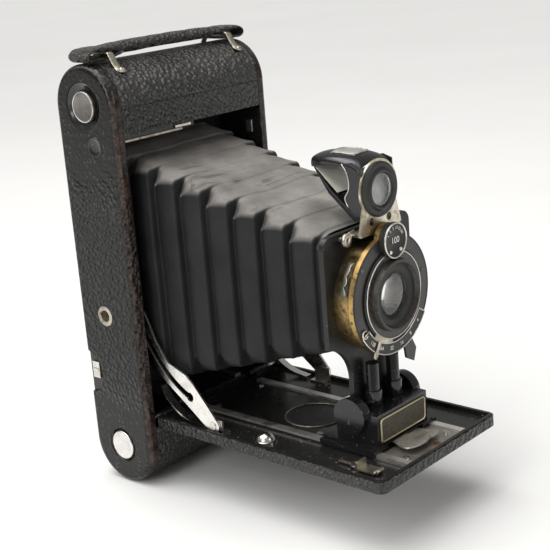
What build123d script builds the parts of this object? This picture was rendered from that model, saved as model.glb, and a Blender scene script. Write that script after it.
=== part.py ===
from build123d import *
import os
from math import cos, radians, sin

# Folding roll-film camera, opened for use and standing on its lower end.
# Millimetres. +Z is up, the lens looks along -Y, and +X is the winding-key side.
# Everything is built about the middle of the case (x = 0, y = 0) with the case's
# lower end at z = 0, and is moved to the shared origin only when it is written.

# ---- case ----------------------------------------------------------------
WIDTH = 110.0
DEPTH = 43.0
HEIGHT = 222.0
END_RADIUS = DEPTH / 2
EDGE_ROUND = 3.0
LEATHER = 0.8
WRAP = 49.3                 # where the side leather's folded edge stops
SEAM_Z = 200.0              # joint between the top leather and the front strip
SEAM_GAP = 0.3
CHAMBER_HALF = 48.8         # bellows chamber and front opening
CHAMBER_LOW = 37.0
CHAMBER_HIGH = 186.7
RECESS_LOW = 33.0           # recess for the bed's knuckles
RECESS_BACK = -14.5
SPOOL_HALF = 46.0
SPOOL_WALL_RADIUS = 18.7
UPPER_SHELF = 189.5
LOWER_SHELF = 31.5
UPPER_SPOOL_Z = 201.2
LOWER_SPOOL_Z = 20.8
GATE_PLANE = 12.0
BACK_PLANE = 15.5
BACK_HALF = 52.4
COVER_GAP = 0.1
COVER_WALL = 1.5
WELL_DEPTH = 2.0
NOTCH_Z = 59.0
NOTCH_RADIUS = 12.0
RUNNING = 0.05              # radial clearance of a shaft in its hole

# ---- spools and their pins -----------------------------------------------
PIN_RADIUS = 2.0
KNOB_RADIUS = 7.8
KEY_RADIUS = 2.6
SPOOL_HALF_LENGTH = 44.0
FLANGE_RADIUS = 11.0
ROLLER_RADIUS = 2.0
ROLLER_Y = 13.4
ROLLER_HEIGHTS = (192.0, 29.2)

# ---- sockets and button --------------------------------------------------
SOCKET_RADIUS = 3.175       # quarter-inch tripod thread
SIDE_SOCKET_Y = 2.1
SIDE_SOCKET_Z = 92.6
BUTTON_Y = -5.2
BUTTON_Z = 181.5
BUTTON_RADIUS = 5.3

# ---- bed -----------------------------------------------------------------
BED_HALF = 47.4
BED_NEAR = -21.6
BED_FAR = -167.1
BED_UNDERSIDE = 33.1
BED_FLOOR = 36.5
BED_RIM = 38.9
BED_CORNER = 4.0
RIM_WIDTH = 1.8
HINGE_Y = -17.2
HINGE_Z = 37.3
HINGE_PIN = 1.2
HINGE_PIN_START = 29.0
TRACK_HALF = 24.0
TRACK_NEAR = -30.0
TRACK_FAR = -164.0
TRACK_TOP = 37.4
RAIL_WIDTH = 4.0
RAIL_TOP = 38.6
DISH_Y = -88.9
DISH_RADIUS = 15.4
LEG_PIVOT_Y = -160.0
LEG_PIVOT_Z = 31.9
LEG_LENGTH = 31.0
STUD_X = -36.0
STUD_Y = -87.0
STOP_X = -36.0
STOP_Y = -143.0

# ---- struts --------------------------------------------------------------
STRUT_INNER = 43.4
STRUT_OUTER = 44.6
STRUT_PIVOT = (-59.3, 41.3)
STRUT_STUD = (-11.5, 80.5)
STRUT_PRESS = 5.0           # degrees the strut is pressed to free the bed
STUD_RADIUS = 1.5
SLOT_WIDTH = 3.4

# ---- front standard ------------------------------------------------------
SOLE_TOP = 41.0
SOLE_BOTTOM = RAIL_TOP + 0.1
FOOT_TOP = 56.0
FOOT_HALF = 20.0
FOOT_FRONT = -144.5
FOOT_BACK = -120.0
PLATE_FRONT = -129.5
PLATE_BACK = -126.6
PLATE_HALF = 33.0
PLATE_TOP = 143.2
PLATE_CORNER = 5.5
SHELF_LOW = 140.5
SHELF_HALF = 15.0
LENS_Z = 110.5
CASE_RADIUS = 28.0
FACE_RADIUS = 29.1
FACE_BACK = -139.0
FACE_FRONT = -142.0
MOUNT_RADIUS = 20.75
HOOD_RADIUS = 17.0
HOOD_FRONT = -146.2
GLASS_RADIUS = 9.85
DIAL_Z = 137.0
DIAL_RADIUS = 8.5
FINDER_Z = 160.5
FINDER_RING = 12.9
BELLOWS_BACK = 9.1
BELLOWS_FRONT = -126.4


# ---- drawing helpers -----------------------------------------------------
def block(x0, x1, y0, y1, z0, z1):
    """A box between the given limits."""
    centre = Pos((x0 + x1) / 2, (y0 + y1) / 2, (z0 + z1) / 2)
    return centre * Box(x1 - x0, y1 - y0, z1 - z0)


def rod_x(y, z, radius, x0, x1):
    return Pos((x0 + x1) / 2, y, z) * Rot(0, 90, 0) * Cylinder(radius, x1 - x0)


def rod_y(x, z, radius, y0, y1):
    return Pos(x, (y0 + y1) / 2, z) * Rot(90, 0, 0) * Cylinder(radius, y1 - y0)


def rod_z(x, y, radius, z0, z1):
    return Pos(x, y, (z0 + z1) / 2) * Cylinder(radius, z1 - z0)


def rod_between(start, end, radius):
    """A round bar from one point to another."""
    run = Vector(*end) - Vector(*start)
    place = Plane(origin=start, z_dir=run).location
    return place * Pos(0, 0, run.length / 2) * Cylinder(radius, run.length)


def slab_x(sketch, x0, x1):
    """A (y, z) outline made solid between two x positions."""
    return extrude(Plane.YZ.offset(x0) * sketch, x1 - x0)


def slab_y(sketch, front, back):
    """An (x, z) outline made solid between two y positions."""
    plane = Plane(origin=(0, back, 0), x_dir=(1, 0, 0), z_dir=(0, -1, 0))
    return extrude(plane * sketch, back - front)


def on_both_sides(shape):
    """The shape and its mirror image across the middle of the camera."""
    return shape + mirror(shape, Plane.YZ)


def solid_of_turn(points, x, z):
    """A ring about the lens direction, from (radius, y) corners."""
    face = make_face(Polyline(*points, close=True))
    turned = revolve(Plane.XY * face, Axis.Y)
    return Pos(x, 0, z) * turned


# ---- case ----------------------------------------------------------------
def case_form(inset, half_width, edge_round):
    """The round-ended form of the case, taken in all round by the inset."""
    plane = Plane(origin=(-half_width, 0, HEIGHT / 2), x_dir=(0, 1, 0), z_dir=(1, 0, 0))
    outline = SlotCenterToCenter(HEIGHT - DEPTH, DEPTH - 2 * inset, rotation=90)
    form = extrude(plane * outline, 2 * half_width)
    ends = form.faces().sort_by(Axis.X)
    rims = ends[0].edges() + ends[-1].edges()
    return fillet(rims, edge_round) if edge_round else form


def outer_form():
    return case_form(0, WIDTH / 2, EDGE_ROUND)


def metal_form():
    return case_form(LEATHER, WIDTH / 2 - LEATHER, EDGE_ROUND - LEATHER)


def side_holes():
    """Everything that is let into the two flat sides."""
    left = -WIDTH / 2
    reach = 1.0
    holes = [
        rod_x(0, UPPER_SPOOL_Z, 12.5, left - reach, left + WELL_DEPTH),
        rod_x(0, LOWER_SPOOL_Z, 9.6, left - reach, left + WELL_DEPTH),
        rod_x(0, UPPER_SPOOL_Z, 12.5, -left - WELL_DEPTH, -left + reach),
        rod_x(BUTTON_Y, BUTTON_Z, BUTTON_RADIUS + 0.1, left - reach, left + 4.0),
        rod_x(SIDE_SOCKET_Y, SIDE_SOCKET_Z, BUTTON_RADIUS, left - reach, left + 5.8),
        rod_x(END_RADIUS, NOTCH_Z, NOTCH_RADIUS, left - reach, left + 2.7),
    ]
    return holes


def bail_posts():
    """The four posts that hold the handle's bails, square to the round top."""
    posts = []
    for x in (-40.0, 42.0):
        for side in (-1, 1):
            lean = radians(40.6)
            out = Vector(0, side * sin(lean), cos(lean))
            middle = Vector(x, 0, HEIGHT - END_RADIUS)
            foot = middle + out * (END_RADIUS - 3.0)
            head = middle + out * (END_RADIUS + 0.9)
            posts.append(rod_between(tuple(foot), tuple(head), 1.6))
    return posts


def body_casting():
    """The metal case with its bellows chamber, spool chambers and back rebate."""
    case = metal_form()
    case -= block(-CHAMBER_HALF, CHAMBER_HALF, -30, 30, CHAMBER_LOW, CHAMBER_HIGH)
    case -= block(-CHAMBER_HALF, CHAMBER_HALF, -30, RECESS_BACK, RECESS_LOW, CHAMBER_LOW)
    upper = rod_x(0, HEIGHT - END_RADIUS, SPOOL_WALL_RADIUS, -SPOOL_HALF, SPOOL_HALF)
    case -= upper & block(-60, 60, -30, 30, UPPER_SHELF, HEIGHT)
    lower = rod_x(0, END_RADIUS, SPOOL_WALL_RADIUS, -SPOOL_HALF, SPOOL_HALF)
    case -= lower & block(-60, 60, -30, 30, 0, LOWER_SHELF)
    case -= block(-SPOOL_HALF, SPOOL_HALF, 0, 30, UPPER_SHELF, 212.7)
    case -= block(-SPOOL_HALF, SPOOL_HALF, 0, 30, 9.3, LOWER_SHELF)
    case -= block(-BACK_HALF, BACK_HALF, GATE_PLANE, 30, 8.0, 214.0)
    case -= block(-BACK_HALF, BACK_HALF, BACK_PLANE, 30, -1, HEIGHT + 1)
    for hole in side_holes() + bail_posts():
        case -= hole
    for height in (UPPER_SPOOL_Z, LOWER_SPOOL_Z):
        case -= rod_x(0, height, PIN_RADIUS + RUNNING, -54, -45)
    case -= rod_x(0, UPPER_SPOOL_Z, KEY_RADIUS + RUNNING, 45, 54)
    case -= rod_x(BUTTON_Y, BUTTON_Z, 1.5 + RUNNING, -52, -48)
    for side in (-1, 1):
        ends = sorted((side * CHAMBER_HALF, side * (CHAMBER_HALF + 2)))
        case -= rod_x(HINGE_Y, HINGE_Z, HINGE_PIN, *ends)
        case -= rod_x(*STRUT_STUD, STUD_RADIUS, *ends)
    case += rod_x(0, LOWER_SPOOL_Z, PIN_RADIUS, SPOOL_HALF_LENGTH - 1, SPOOL_HALF)
    return case


def leather_skin():
    """The whole thickness of leather round the case, before it is cut up."""
    return outer_form() - metal_form()


def side_leather():
    """The two side panels, each folded a little way round onto the ends."""
    skin = leather_skin() - block(-WRAP, WRAP, -30, 30, -1, HEIGHT + 1)
    skin -= block(-BACK_HALF, BACK_HALF, BACK_PLANE, 30, -1, HEIGHT + 1)
    for hole in side_holes():
        skin -= hole
    return skin


def body_leather():
    """The top, front-strip and bottom coverings between the side panels."""
    half = WRAP - SEAM_GAP
    skin = leather_skin() & block(-half, half, -30, BACK_PLANE, -1, HEIGHT + 1)
    skin -= block(-60, 60, -30, 0, RECESS_LOW, CHAMBER_HIGH)
    skin -= block(-60, 60, -30, 0, SEAM_Z - SEAM_GAP / 2, SEAM_Z + SEAM_GAP / 2)
    for post in bail_posts():
        skin -= post
    return skin


def film_gate():
    """The frame that bounds the picture, with ears for the film rollers."""
    gate = block(-50.4, 50.4, GATE_PLANE, GATE_PLANE + 1.2, 34.5, 189.0)
    gate -= block(-36.5, 36.5, GATE_PLANE - 1, GATE_PLANE + 2, 49.7, 173.7)
    for height in ROLLER_HEIGHTS:
        inward = 1 if height < HEIGHT / 2 else -1
        low, high = sorted((height - 2.2 * inward, height + 5.5 * inward))
        gate += on_both_sides(block(44.5, 45.7, GATE_PLANE, 15.3, low, high))
    for height in ROLLER_HEIGHTS:
        gate -= rod_x(ROLLER_Y, height, 0.8 + RUNNING, -46, 46)
    return gate


def film_roller(height):
    roller = rod_x(ROLLER_Y, height, ROLLER_RADIUS, -44.2, 44.2)
    return roller + rod_x(ROLLER_Y, height, 0.8, -45.6, 45.6)


def bellows_rear_frame():
    low = CHAMBER_LOW + 0.1
    high = CHAMBER_HIGH - 0.1
    frame = block(-CHAMBER_HALF + 0.1, CHAMBER_HALF - 0.1, BELLOWS_BACK + 0.1, GATE_PLANE, low, high)
    return frame - block(-40, 40, 0, 20, 49, 176)


def bellows():
    """The folding leather tube, as a plain tapered tube of its true outer size."""
    def ring(half_back, low_back, high_back, half_front, low_front, high_front):
        back = Plane(origin=(0, BELLOWS_BACK, (low_back + high_back) / 2),
                     x_dir=(1, 0, 0), z_dir=(0, -1, 0))
        front = Plane(origin=(0, BELLOWS_FRONT, (low_front + high_front) / 2),
                      x_dir=(1, 0, 0), z_dir=(0, -1, 0))
        near = back * Rectangle(2 * half_back, high_back - low_back)
        far = front * Rectangle(2 * half_front, high_front - low_front)
        return loft([near, far])
    outside = ring(42.6, 46.5, 179.0, 33.0, 86.5, 144.5)
    inside = ring(39.0, 50.1, 175.4, 29.4, 90.1, 140.9)
    return outside - inside


def inner_rails():
    return on_both_sides(block(TRACK_HALF - RAIL_WIDTH, TRACK_HALF, -13.5, 8.8, CHAMBER_LOW, RAIL_TOP))


def striker_plate():
    """The strip under the opening's upper edge that the bed's catch snaps onto."""
    strip = block(-48.0, 0, -20.3, -19.3, 181.8, CHAMBER_HIGH)
    return strip + block(-30, -7, -20.9, -20.3, 182.4, 185.0)


def side_tripod_socket():
    bush = rod_x(SIDE_SOCKET_Y, SIDE_SOCKET_Z, BUTTON_RADIUS, -WIDTH / 2, -WIDTH / 2 + 5.8)
    return bush - rod_x(SIDE_SOCKET_Y, SIDE_SOCKET_Z, SOCKET_RADIUS, -WIDTH / 2 - 1, -WIDTH / 2 + 4.8)


def spool_pin(height):
    """A pull-out pin with the nickel disc that it is gripped by."""
    knob = rod_x(0, height, KNOB_RADIUS, -WIDTH / 2, -WIDTH / 2 + WELL_DEPTH - 0.05)
    return knob + rod_x(0, height, PIN_RADIUS, -53.5, -41.5)


def winding_key():
    """The key's collar, shaft and the two ears that carry its wing."""
    collar = rod_x(0, UPPER_SPOOL_Z, 7.0, 53.05, 55.8)
    shaft = rod_x(0, UPPER_SPOOL_Z, KEY_RADIUS, 41.0, 53.5)
    ear = block(55.5, 59.0, 4.2, 5.4, UPPER_SPOOL_Z - 1.8, UPPER_SPOOL_Z + 1.8)
    ears = ear + mirror(ear, Plane.XZ)
    pin = rod_y(57.5, UPPER_SPOOL_Z, 0.8, -5.4, 5.4)
    return collar + shaft + ears + pin


def key_wing():
    barrel = rod_y(57.5, UPPER_SPOOL_Z, 1.6, -4.1, 4.1)
    blade = block(57.0, 58.2, -4.1, 4.1, UPPER_SPOOL_Z + 1, 214.0)
    rounding = rod_x(0, 210.0, 5.6, 56, 60)
    blade = blade & (rounding + block(56, 60, -5, 5, UPPER_SPOOL_Z, 210.0))
    return barrel + blade - rod_y(57.5, UPPER_SPOOL_Z, 0.8 + RUNNING, -6, 6)


def take_up_spool():
    core = rod_x(0, UPPER_SPOOL_Z, 4.5, -SPOOL_HALF_LENGTH, SPOOL_HALF_LENGTH)
    flange = rod_x(0, UPPER_SPOOL_Z, FLANGE_RADIUS, SPOOL_HALF_LENGTH - 1, SPOOL_HALF_LENGTH)
    spool = core + on_both_sides(flange)
    spool -= rod_x(0, UPPER_SPOOL_Z, PIN_RADIUS + RUNNING, -SPOOL_HALF_LENGTH, -40)
    return spool - rod_x(0, UPPER_SPOOL_Z, KEY_RADIUS, 40.5, SPOOL_HALF_LENGTH)


def bed_release_button():
    cap = rod_x(BUTTON_Y, BUTTON_Z, BUTTON_RADIUS, -WIDTH / 2, -WIDTH / 2 + 2.0)
    return cap + rod_x(BUTTON_Y, BUTTON_Z, 1.5, -53.5, -48.9)


def handle_bails():
    """Two wire loops: feet on the posts, legs, and a bar through the strap."""
    bails = Part()
    for x in (-40.0, 42.0):
        for side in (-1, 1):
            lean = radians(40.6)
            head = END_RADIUS + 0.9
            foot = (x, side * head * sin(lean), HEIGHT - END_RADIUS + head * cos(lean))
            corner = (x, side * 9.4, 226.0)
            bails += rod_between(foot, corner, 1.1)
            bails += Pos(*corner) * Sphere(1.1)
            bails += Pos(*foot) * Rot(-side * 40.6, 0, 0) * Cylinder(3.0, 1.4)
        bails += rod_y(x, 226.0, 1.1, -9.4, 9.4)
    for post in bail_posts():
        bails += post
    return bails - outer_form_above_leather()


def outer_form_above_leather():
    """The leather-covered top, less the post holes, so that the feet sit on it."""
    form = outer_form()
    for post in bail_posts():
        form -= post
    return form


def handle_strap():
    """The carrying strap, bowed up a little, with its folded ends."""
    top = ThreePointArc((-54, 228.4), (1, 229.4), (56, 228.4))
    bottom = ThreePointArc((56, 223.4), (1, 224.9), (-54, 223.4))
    outline = make_face([top, Line(top @ 1, bottom @ 0), bottom, Line(bottom @ 1, top @ 0)])
    strap = slab_y(outline, -8.0, 8.0)
    upright = strap.edges().filter_by(Axis.Z)
    strap = fillet(upright, 4.0)
    for x in (-40.0, 42.0):
        strap -= rod_y(x, 226.0, 1.15, -9, 9)
    return strap


# ---- back ----------------------------------------------------------------
def back_cover():
    """The lift-off back: a shallow curved tray with side flanges."""
    half = BACK_HALF - COVER_GAP
    front = BACK_PLANE + COVER_GAP
    shell = case_form(LEATHER, half, 0) - case_form(LEATHER + COVER_WALL, half + 1, 0)
    shell &= block(-60, 60, front, 30, -1, HEIGHT + 1)
    flange = block(half - 1.3, half, GATE_PLANE + 0.3, 20.0, 22.0, 200.0)
    shell += on_both_sides(flange)
    shell -= rod_y(0, HEIGHT / 2, 5.0, 15, 22)
    shell -= block(-22, 22, 15, 22, 39, 47)
    shell -= block(-half - 1, -half + 2, 15.25, 17.35, 55.5, 62.6)
    for side in (-1, 1):
        low, high = sorted((side * 26.0, side * 28.0))
        shell += block(low, high, 20.0, 24.0, 33.6, 36.2)
        low, high = sorted((side * 15.0, side * 17.0))
        shell += block(low, high, 20.0, 25.2, 51.0, 55.0)
    shell -= rod_x(22.9, 34.9, 0.5 + RUNNING, -29, 29)
    return shell - rod_x(23.2, 53.0, 1.2 + RUNNING, -20, 20)


def back_leather():
    half = BACK_HALF - COVER_GAP
    front = BACK_PLANE + COVER_GAP
    skin = case_form(0, half, 0) - case_form(LEATHER, half + 1, 0)
    skin &= block(-60, 60, front, 30, -1, HEIGHT + 1)
    skin -= rod_y(0, HEIGHT / 2, 5.5, 15, 23)
    skin -= block(-22, 22, 15, 23, 39, 47)
    for side in (-1, 1):
        low, high = sorted((side * 26.0, side * 28.0))
        skin -= block(low, high, 20.0, 24.0, 33.6, 36.2)
        low, high = sorted((side * 15.0, side * 17.0))
        skin -= block(low, high, 20.0, 25.2, 51.0, 55.0)
    return skin


def pressure_plate():
    """The plate that holds the film flat, with two bowed springs behind it."""
    plate = block(-38, 38, 13.6, 14.6, 48, 176)
    plate -= rod_y(0, HEIGHT / 2, 5.0, 13, 15)
    spring = Part()
    for low in (66.0, 126.0):
        bow = ThreePointArc((14.6, low), (19.15, low + 15), (14.6, low + 30))
        under = ThreePointArc((14.6, low + 29), (18.5, low + 15), (14.6, low + 1))
        ends = [Line(bow @ 1, under @ 0), Line(under @ 1, bow @ 0)]
        spring += slab_x(make_face([bow, ends[0], under, ends[1]]), -20, -12)
        spring += slab_x(make_face([bow, ends[0], under, ends[1]]), 12, 20)
    return plate + spring


def ruby_window():
    return rod_y(0, HEIGHT / 2, 4.95, 19.4, 20.6)


def back_latch():
    """The slide in the thumb notch that locks the back."""
    plate = block(-53.6, -52.4, 13.7, 19.0, 55.5, 64.5)
    ribs = block(-54.2, -53.6, 14.6, 18.2, 59.2, 60.8)
    stem = rod_x(16.3, 61.0, 1.0, -52.6, -50.2)
    head = block(-50.8, -50.0, 14.6, 18.0, 59.3, 62.7)
    return plate + ribs + stem + head


def record_door():
    """The little hinged door over the writing slot."""
    leaf = block(-25, 25, 21.6, 22.5, 35.6, 50.0)
    barrel = rod_x(22.9, 34.9, 1.2, -25.6, 25.6)
    pivot = rod_x(22.9, 34.9, 0.5, -27.8, 27.8)
    return leaf + barrel + pivot


def stylus():
    shaft = rod_x(23.2, 53.0, 1.2, -20, 20)
    knob = rod_x(23.2, 53.0, 1.6, 20, 23)
    tip = Pos(-22, 23.2, 53.0) * Rot(0, -90, 0) * Cone(1.2, 0.4, 4)
    return shaft + knob + tip


# ---- bed -----------------------------------------------------------------
def bed_block(inset, low, high):
    """A slice of the bed's plan, with its two far corners rounded."""
    half = BED_HALF - inset
    slice_ = block(-half, half, BED_FAR + inset, BED_NEAR, low, high)
    far_edges = slice_.edges().filter_by(Axis.Z).sort_by(Axis.Y)[:2]
    return fillet(far_edges, BED_CORNER - inset)


def bed_tray():
    """The stamped bed: floor, raised rim on three sides and two hinge knuckles."""
    tray = bed_block(LEATHER, BED_UNDERSIDE + LEATHER, BED_RIM)
    room = bed_block(LEATHER + RIM_WIDTH, BED_FLOOR, BED_RIM + 1)
    room += block(-BED_HALF + LEATHER + RIM_WIDTH, BED_HALF - LEATHER - RIM_WIDTH,
                  BED_NEAR - 10, BED_NEAR + 1, BED_FLOOR, BED_RIM + 1)
    tray -= room
    knuckle = rod_x(HINGE_Y, HINGE_Z, 2.2, 30, 42)
    knuckle += block(30, 42, BED_NEAR, HINGE_Y, 35.1, HINGE_Z)
    tray += on_both_sides(knuckle)
    tray -= rod_x(HINGE_Y, HINGE_Z, HINGE_PIN + RUNNING, -50, 50)
    return tray - rod_z(0, DISH_Y, 6.5, BED_UNDERSIDE, BED_FLOOR)


def bed_leather():
    skin = bed_block(0, BED_UNDERSIDE, BED_RIM - 0.5) - bed_block(LEATHER, BED_UNDERSIDE + LEATHER, BED_RIM)
    return skin - rod_z(0, DISH_Y, 6.5, BED_UNDERSIDE - 1, BED_FLOOR)


def bed_hinge_pin():
    # two short pins, so the standard's foot can pass between them
    return on_both_sides(rod_x(HINGE_Y, HINGE_Z, HINGE_PIN, HINGE_PIN_START, CHAMBER_HALF + 2))


def bed_tripod_socket():
    bush = rod_z(0, DISH_Y, 6.5, BED_UNDERSIDE, BED_FLOOR)
    cap = rod_z(0, DISH_Y, 8.0, BED_FLOOR, BED_FLOOR + 0.7)
    return bush + cap - rod_z(0, DISH_Y, SOCKET_RADIUS, BED_UNDERSIDE - 1, BED_FLOOR)


def track_plate():
    plate = block(-TRACK_HALF, TRACK_HALF, TRACK_FAR, TRACK_NEAR, BED_FLOOR, TRACK_TOP)
    return plate - rod_z(0, DISH_Y, DISH_RADIUS, BED_FLOOR - 1, TRACK_TOP + 1)


def track_rails():
    inner = TRACK_HALF - RAIL_WIDTH
    return on_both_sides(block(inner, TRACK_HALF, TRACK_FAR, TRACK_NEAR, TRACK_TOP, RAIL_TOP))


def bed_fasteners():
    """Track screws, the focus stop's shouldered pin and the domed closing stud."""
    screws = Part()
    for x in (-17.0, 17.0):
        for y in (-36.0, -106.0, -158.0):
            head = rod_z(x, y, 1.7, TRACK_TOP, TRACK_TOP + 0.6)
            screws += head - block(x - 2, x + 2, y - 0.25, y + 0.25, TRACK_TOP + 0.3, TRACK_TOP + 1)
    screws += rod_z(38.8, -88.8, 1.9, BED_FLOOR, BED_FLOOR + 0.8)
    screws += rod_z(STOP_X, STOP_Y, 1.0, BED_FLOOR, BED_FLOOR + 2.0)
    screws += rod_z(STOP_X, STOP_Y, 2.0, BED_FLOOR + 1.8, BED_FLOOR + 2.4)
    screws += rod_z(STUD_X, STUD_Y, 5.8, BED_FLOOR, BED_FLOOR + 1.0)
    dome = Pos(STUD_X, STUD_Y, BED_FLOOR) * Sphere(4.7)
    return screws + (dome & rod_z(STUD_X, STUD_Y, 6, BED_FLOOR, BED_FLOOR + 10))


def focus_stop_lever():
    """The distance stop: an arm, a turned-up thumb piece and a curled end."""
    low = BED_FLOOR + 0.8
    high = low + 0.8
    arm = block(-36.8, -35.2, -146.5, -133.5, low, high)
    boss = rod_z(STOP_X, STOP_Y, 2.4, low, high)
    plate = block(-39.5, -32.5, -156.5, -146.0, low, high)
    thumb = block(-39.5, -32.5, -147.0, -146.0, low, 41.3)
    curl = rod_x(-156.8, high, 1.2, -38.5, -33.5)
    curl &= block(-50, -20, -170, -140, low, 45)
    return arm + boss + plate + thumb + curl - rod_z(STOP_X, STOP_Y, 1.0 + RUNNING, low - 1, high + 1)


def leg_bracket():
    """Two lugs and a pin under the bed's front edge."""
    lug = block(8.3, 10.5, LEG_PIVOT_Y - 2, LEG_PIVOT_Y + 2, 30.7, BED_UNDERSIDE)
    return on_both_sides(lug) + rod_x(LEG_PIVOT_Y, LEG_PIVOT_Z, 0.6, -10.5, 10.5)


def support_leg():
    """The strip that swings down to hold the bed level, folded against it."""
    low = 31.3
    strip = block(-7.5, 7.5, LEG_PIVOT_Y, LEG_PIVOT_Y + LEG_LENGTH, low, low + 1.2)
    barrel = rod_x(LEG_PIVOT_Y, LEG_PIVOT_Z, 1.1, -8.1, 8.1)
    leg = strip + barrel
    end_edges = leg.edges().filter_by(Axis.Z).sort_by(Axis.Y)[-2:]
    leg = fillet(end_edges, 5.0)
    return leg - rod_x(LEG_PIVOT_Y, LEG_PIVOT_Z, 0.6 + RUNNING, -9, 9)


# ---- struts --------------------------------------------------------------
def strut_outline():
    """The strut seen from the side: narrow at the bed, broad inside the case."""
    py, pz = STRUT_PIVOT
    outline = Polyline(
        (py - 3.9, pz + 1.8), (-57.0, 50.5), (-48.4, 60.2), (-42.6, 65.2), (-30.2, 69.8),
        (-23.1, 79.6), (-16.3, 94.7), (-12.0, 97.5), (-6.5, 92.0), (-5.5, 80.0),
        (-16.4, 69.5), (-29.2, 57.9), (-39.1, 51.0), (-54.8, 39.5), (py, pz - 3.0), close=True,
    )
    face = make_face(outline) + Pos(py, pz) * Circle(4.2)
    return face


def strut_slot():
    """The long curved slot and the short hook at its upper end."""
    py, pz = STRUT_PIVOT
    ry = STRUT_STUD[0] - py
    rz = STRUT_STUD[1] - pz
    turn = radians(STRUT_PRESS)
    half = turn / 2
    freed = (py + ry * cos(turn) - rz * sin(turn), pz + ry * sin(turn) + rz * cos(turn))
    middle = (py + ry * cos(half) - rz * sin(half), pz + ry * sin(half) + rz * cos(half))
    hook = SlotArc(ThreePointArc(STRUT_STUD, middle, freed), SLOT_WIDTH)
    run = SlotArc(ThreePointArc((-44.6, 53.8), (-27.0, 66.4), freed), SLOT_WIDTH)
    return hook + run + Pos(-44.6, 53.8) * Circle(2.4)


def strut(side):
    low, high = sorted((side * STRUT_INNER, side * STRUT_OUTER))
    face = strut_outline() - strut_slot() - Pos(*STRUT_PIVOT) * Circle(STUD_RADIUS + RUNNING)
    return slab_x(face, low, high)


def strut_pivots():
    """Riveted feet with the bed pivots, and the studs on the case's inner walls."""
    plate = block(41.9, 43.2, -64.5, -54.0, BED_FLOOR, 44.5)
    foot = block(37.5, 43.2, -64.5, -54.0, BED_FLOOR, BED_FLOOR + 1.0)
    pivot = rod_x(*STRUT_PIVOT, STUD_RADIUS, 41.9, 44.9)
    head = rod_x(*STRUT_PIVOT, 2.2, 44.7, 44.95)
    stud = rod_x(*STRUT_STUD, STUD_RADIUS, 43.1, CHAMBER_HALF + 2)
    washer = rod_x(*STRUT_STUD, 2.8, 44.8, CHAMBER_HALF)
    return on_both_sides(plate + foot + pivot + head) + on_both_sides(stud + washer)


def strut_springs():
    """Bowed strips on the bed that push the struts outwards into their hooks."""
    bow = SlotArc(ThreePointArc((-21.3, 54.0), (-30.5, 43.7), (-47.0, 38.2)), 0.9)
    foot = make_face(Polyline((-50.5, BED_FLOOR), (-45.0, BED_FLOOR), (-45.0, 38.6), (-50.5, 38.2), close=True))
    return on_both_sides(slab_x(bow + foot, 38.5, 42.8))


# ---- front standard ------------------------------------------------------
def foot_casting():
    """The carriage: sole on the rails, nameplate block and two round cheeks."""
    foot = block(-22.5, 22.5, -146.0, -113.0, SOLE_BOTTOM, SOLE_TOP)
    foot += on_both_sides(block(22.0, 25.4, -146.0, -113.0, SOLE_BOTTOM, SOLE_TOP - 1.0))
    foot += on_both_sides(block(TRACK_HALF + 0.1, 25.4, -146.0, -113.0, 37.5, SOLE_BOTTOM))
    foot += block(-FOOT_HALF, FOOT_HALF, FOOT_FRONT, FOOT_BACK, SOLE_TOP, FOOT_TOP)
    foot += on_both_sides(rod_x(-130.0, 54.0, 9.0, 17.5, 23.0))
    foot -= block(-14, 14, -147, -134, 39.0, 40.6)
    for x in (-6.0, 6.0):
        foot -= rod_z(x, -139.0, 1.2 + RUNNING, 38, 41.6)
    return foot


def nameplate():
    return block(-18, 18, FOOT_FRONT - 0.7, FOOT_FRONT, 41.8, 54.2)


def clamp_tab(side):
    """One of the two finger pieces that are squeezed to free the carriage."""
    plate = block(2.2, 10.0, -158.0, -136.5, 39.2, 40.4)
    flange = block(10.0, 11.2, -158.0, -149.0, 39.2, 45.0)
    corners = flange.edges().filter_by(Axis.X).sort_by(Axis.Z)[-2:]
    flange = fillet(corners, 3.0)
    pivot = rod_z(6.0, -139.0, 1.2, SOLE_BOTTOM + 0.05, 41.5)
    tab = plate + flange + pivot
    return tab if side > 0 else mirror(tab, Plane.YZ)


def support_pillars():
    pillar = rod_z(8.0, -134.0, 3.1, FOOT_TOP, 77.5)
    cup = rod_z(8.0, -134.0, 4.2, FOOT_TOP, 64.0)
    return on_both_sides(pillar + cup)


def standard_frame():
    """The pressed front plate: round top corners and a waist down to the foot."""
    cut = PLATE_CORNER * (1 - cos(radians(45)))
    right = make_face([
        Line((0, FOOT_TOP), (17.0, FOOT_TOP)),
        Line((17.0, FOOT_TOP), (17.0, 68.0)),
        ThreePointArc((17.0, 68.0), (22.6, 84.4), (PLATE_HALF, 90.0)),
        Line((PLATE_HALF, 90.0), (PLATE_HALF, PLATE_TOP - PLATE_CORNER)),
        ThreePointArc((PLATE_HALF, PLATE_TOP - PLATE_CORNER), (PLATE_HALF - cut, PLATE_TOP - cut),
                      (PLATE_HALF - PLATE_CORNER, PLATE_TOP)),
        Line((PLATE_HALF - PLATE_CORNER, PLATE_TOP), (0, PLATE_TOP)),
        Line((0, PLATE_TOP), (0, FOOT_TOP)),
    ])
    plate = slab_y(right, PLATE_FRONT, PLATE_BACK)
    plate = on_both_sides(plate)
    return plate - rod_y(0, LENS_Z, 12.1, -131, -125)


def shutter_case():
    """The brass drum that holds the blades, with its rear lens cell."""
    case = rod_y(0, LENS_Z, CASE_RADIUS, FACE_BACK, PLATE_FRONT)
    case += rod_y(0, LENS_Z, 12.0, PLATE_FRONT - 1, -121.0)
    case -= rod_y(0, LENS_Z, 10.5, -140, -120)
    case -= rod_y(0, LENS_Z, 23.5, -133.2, -131.4)
    case -= block(6, 30, -138.2, -136.4, 78.0, 92.5)
    return case - rod_y(14.0, 88.0, 1.2 + RUNNING, -138.9, -135.5)


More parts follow.
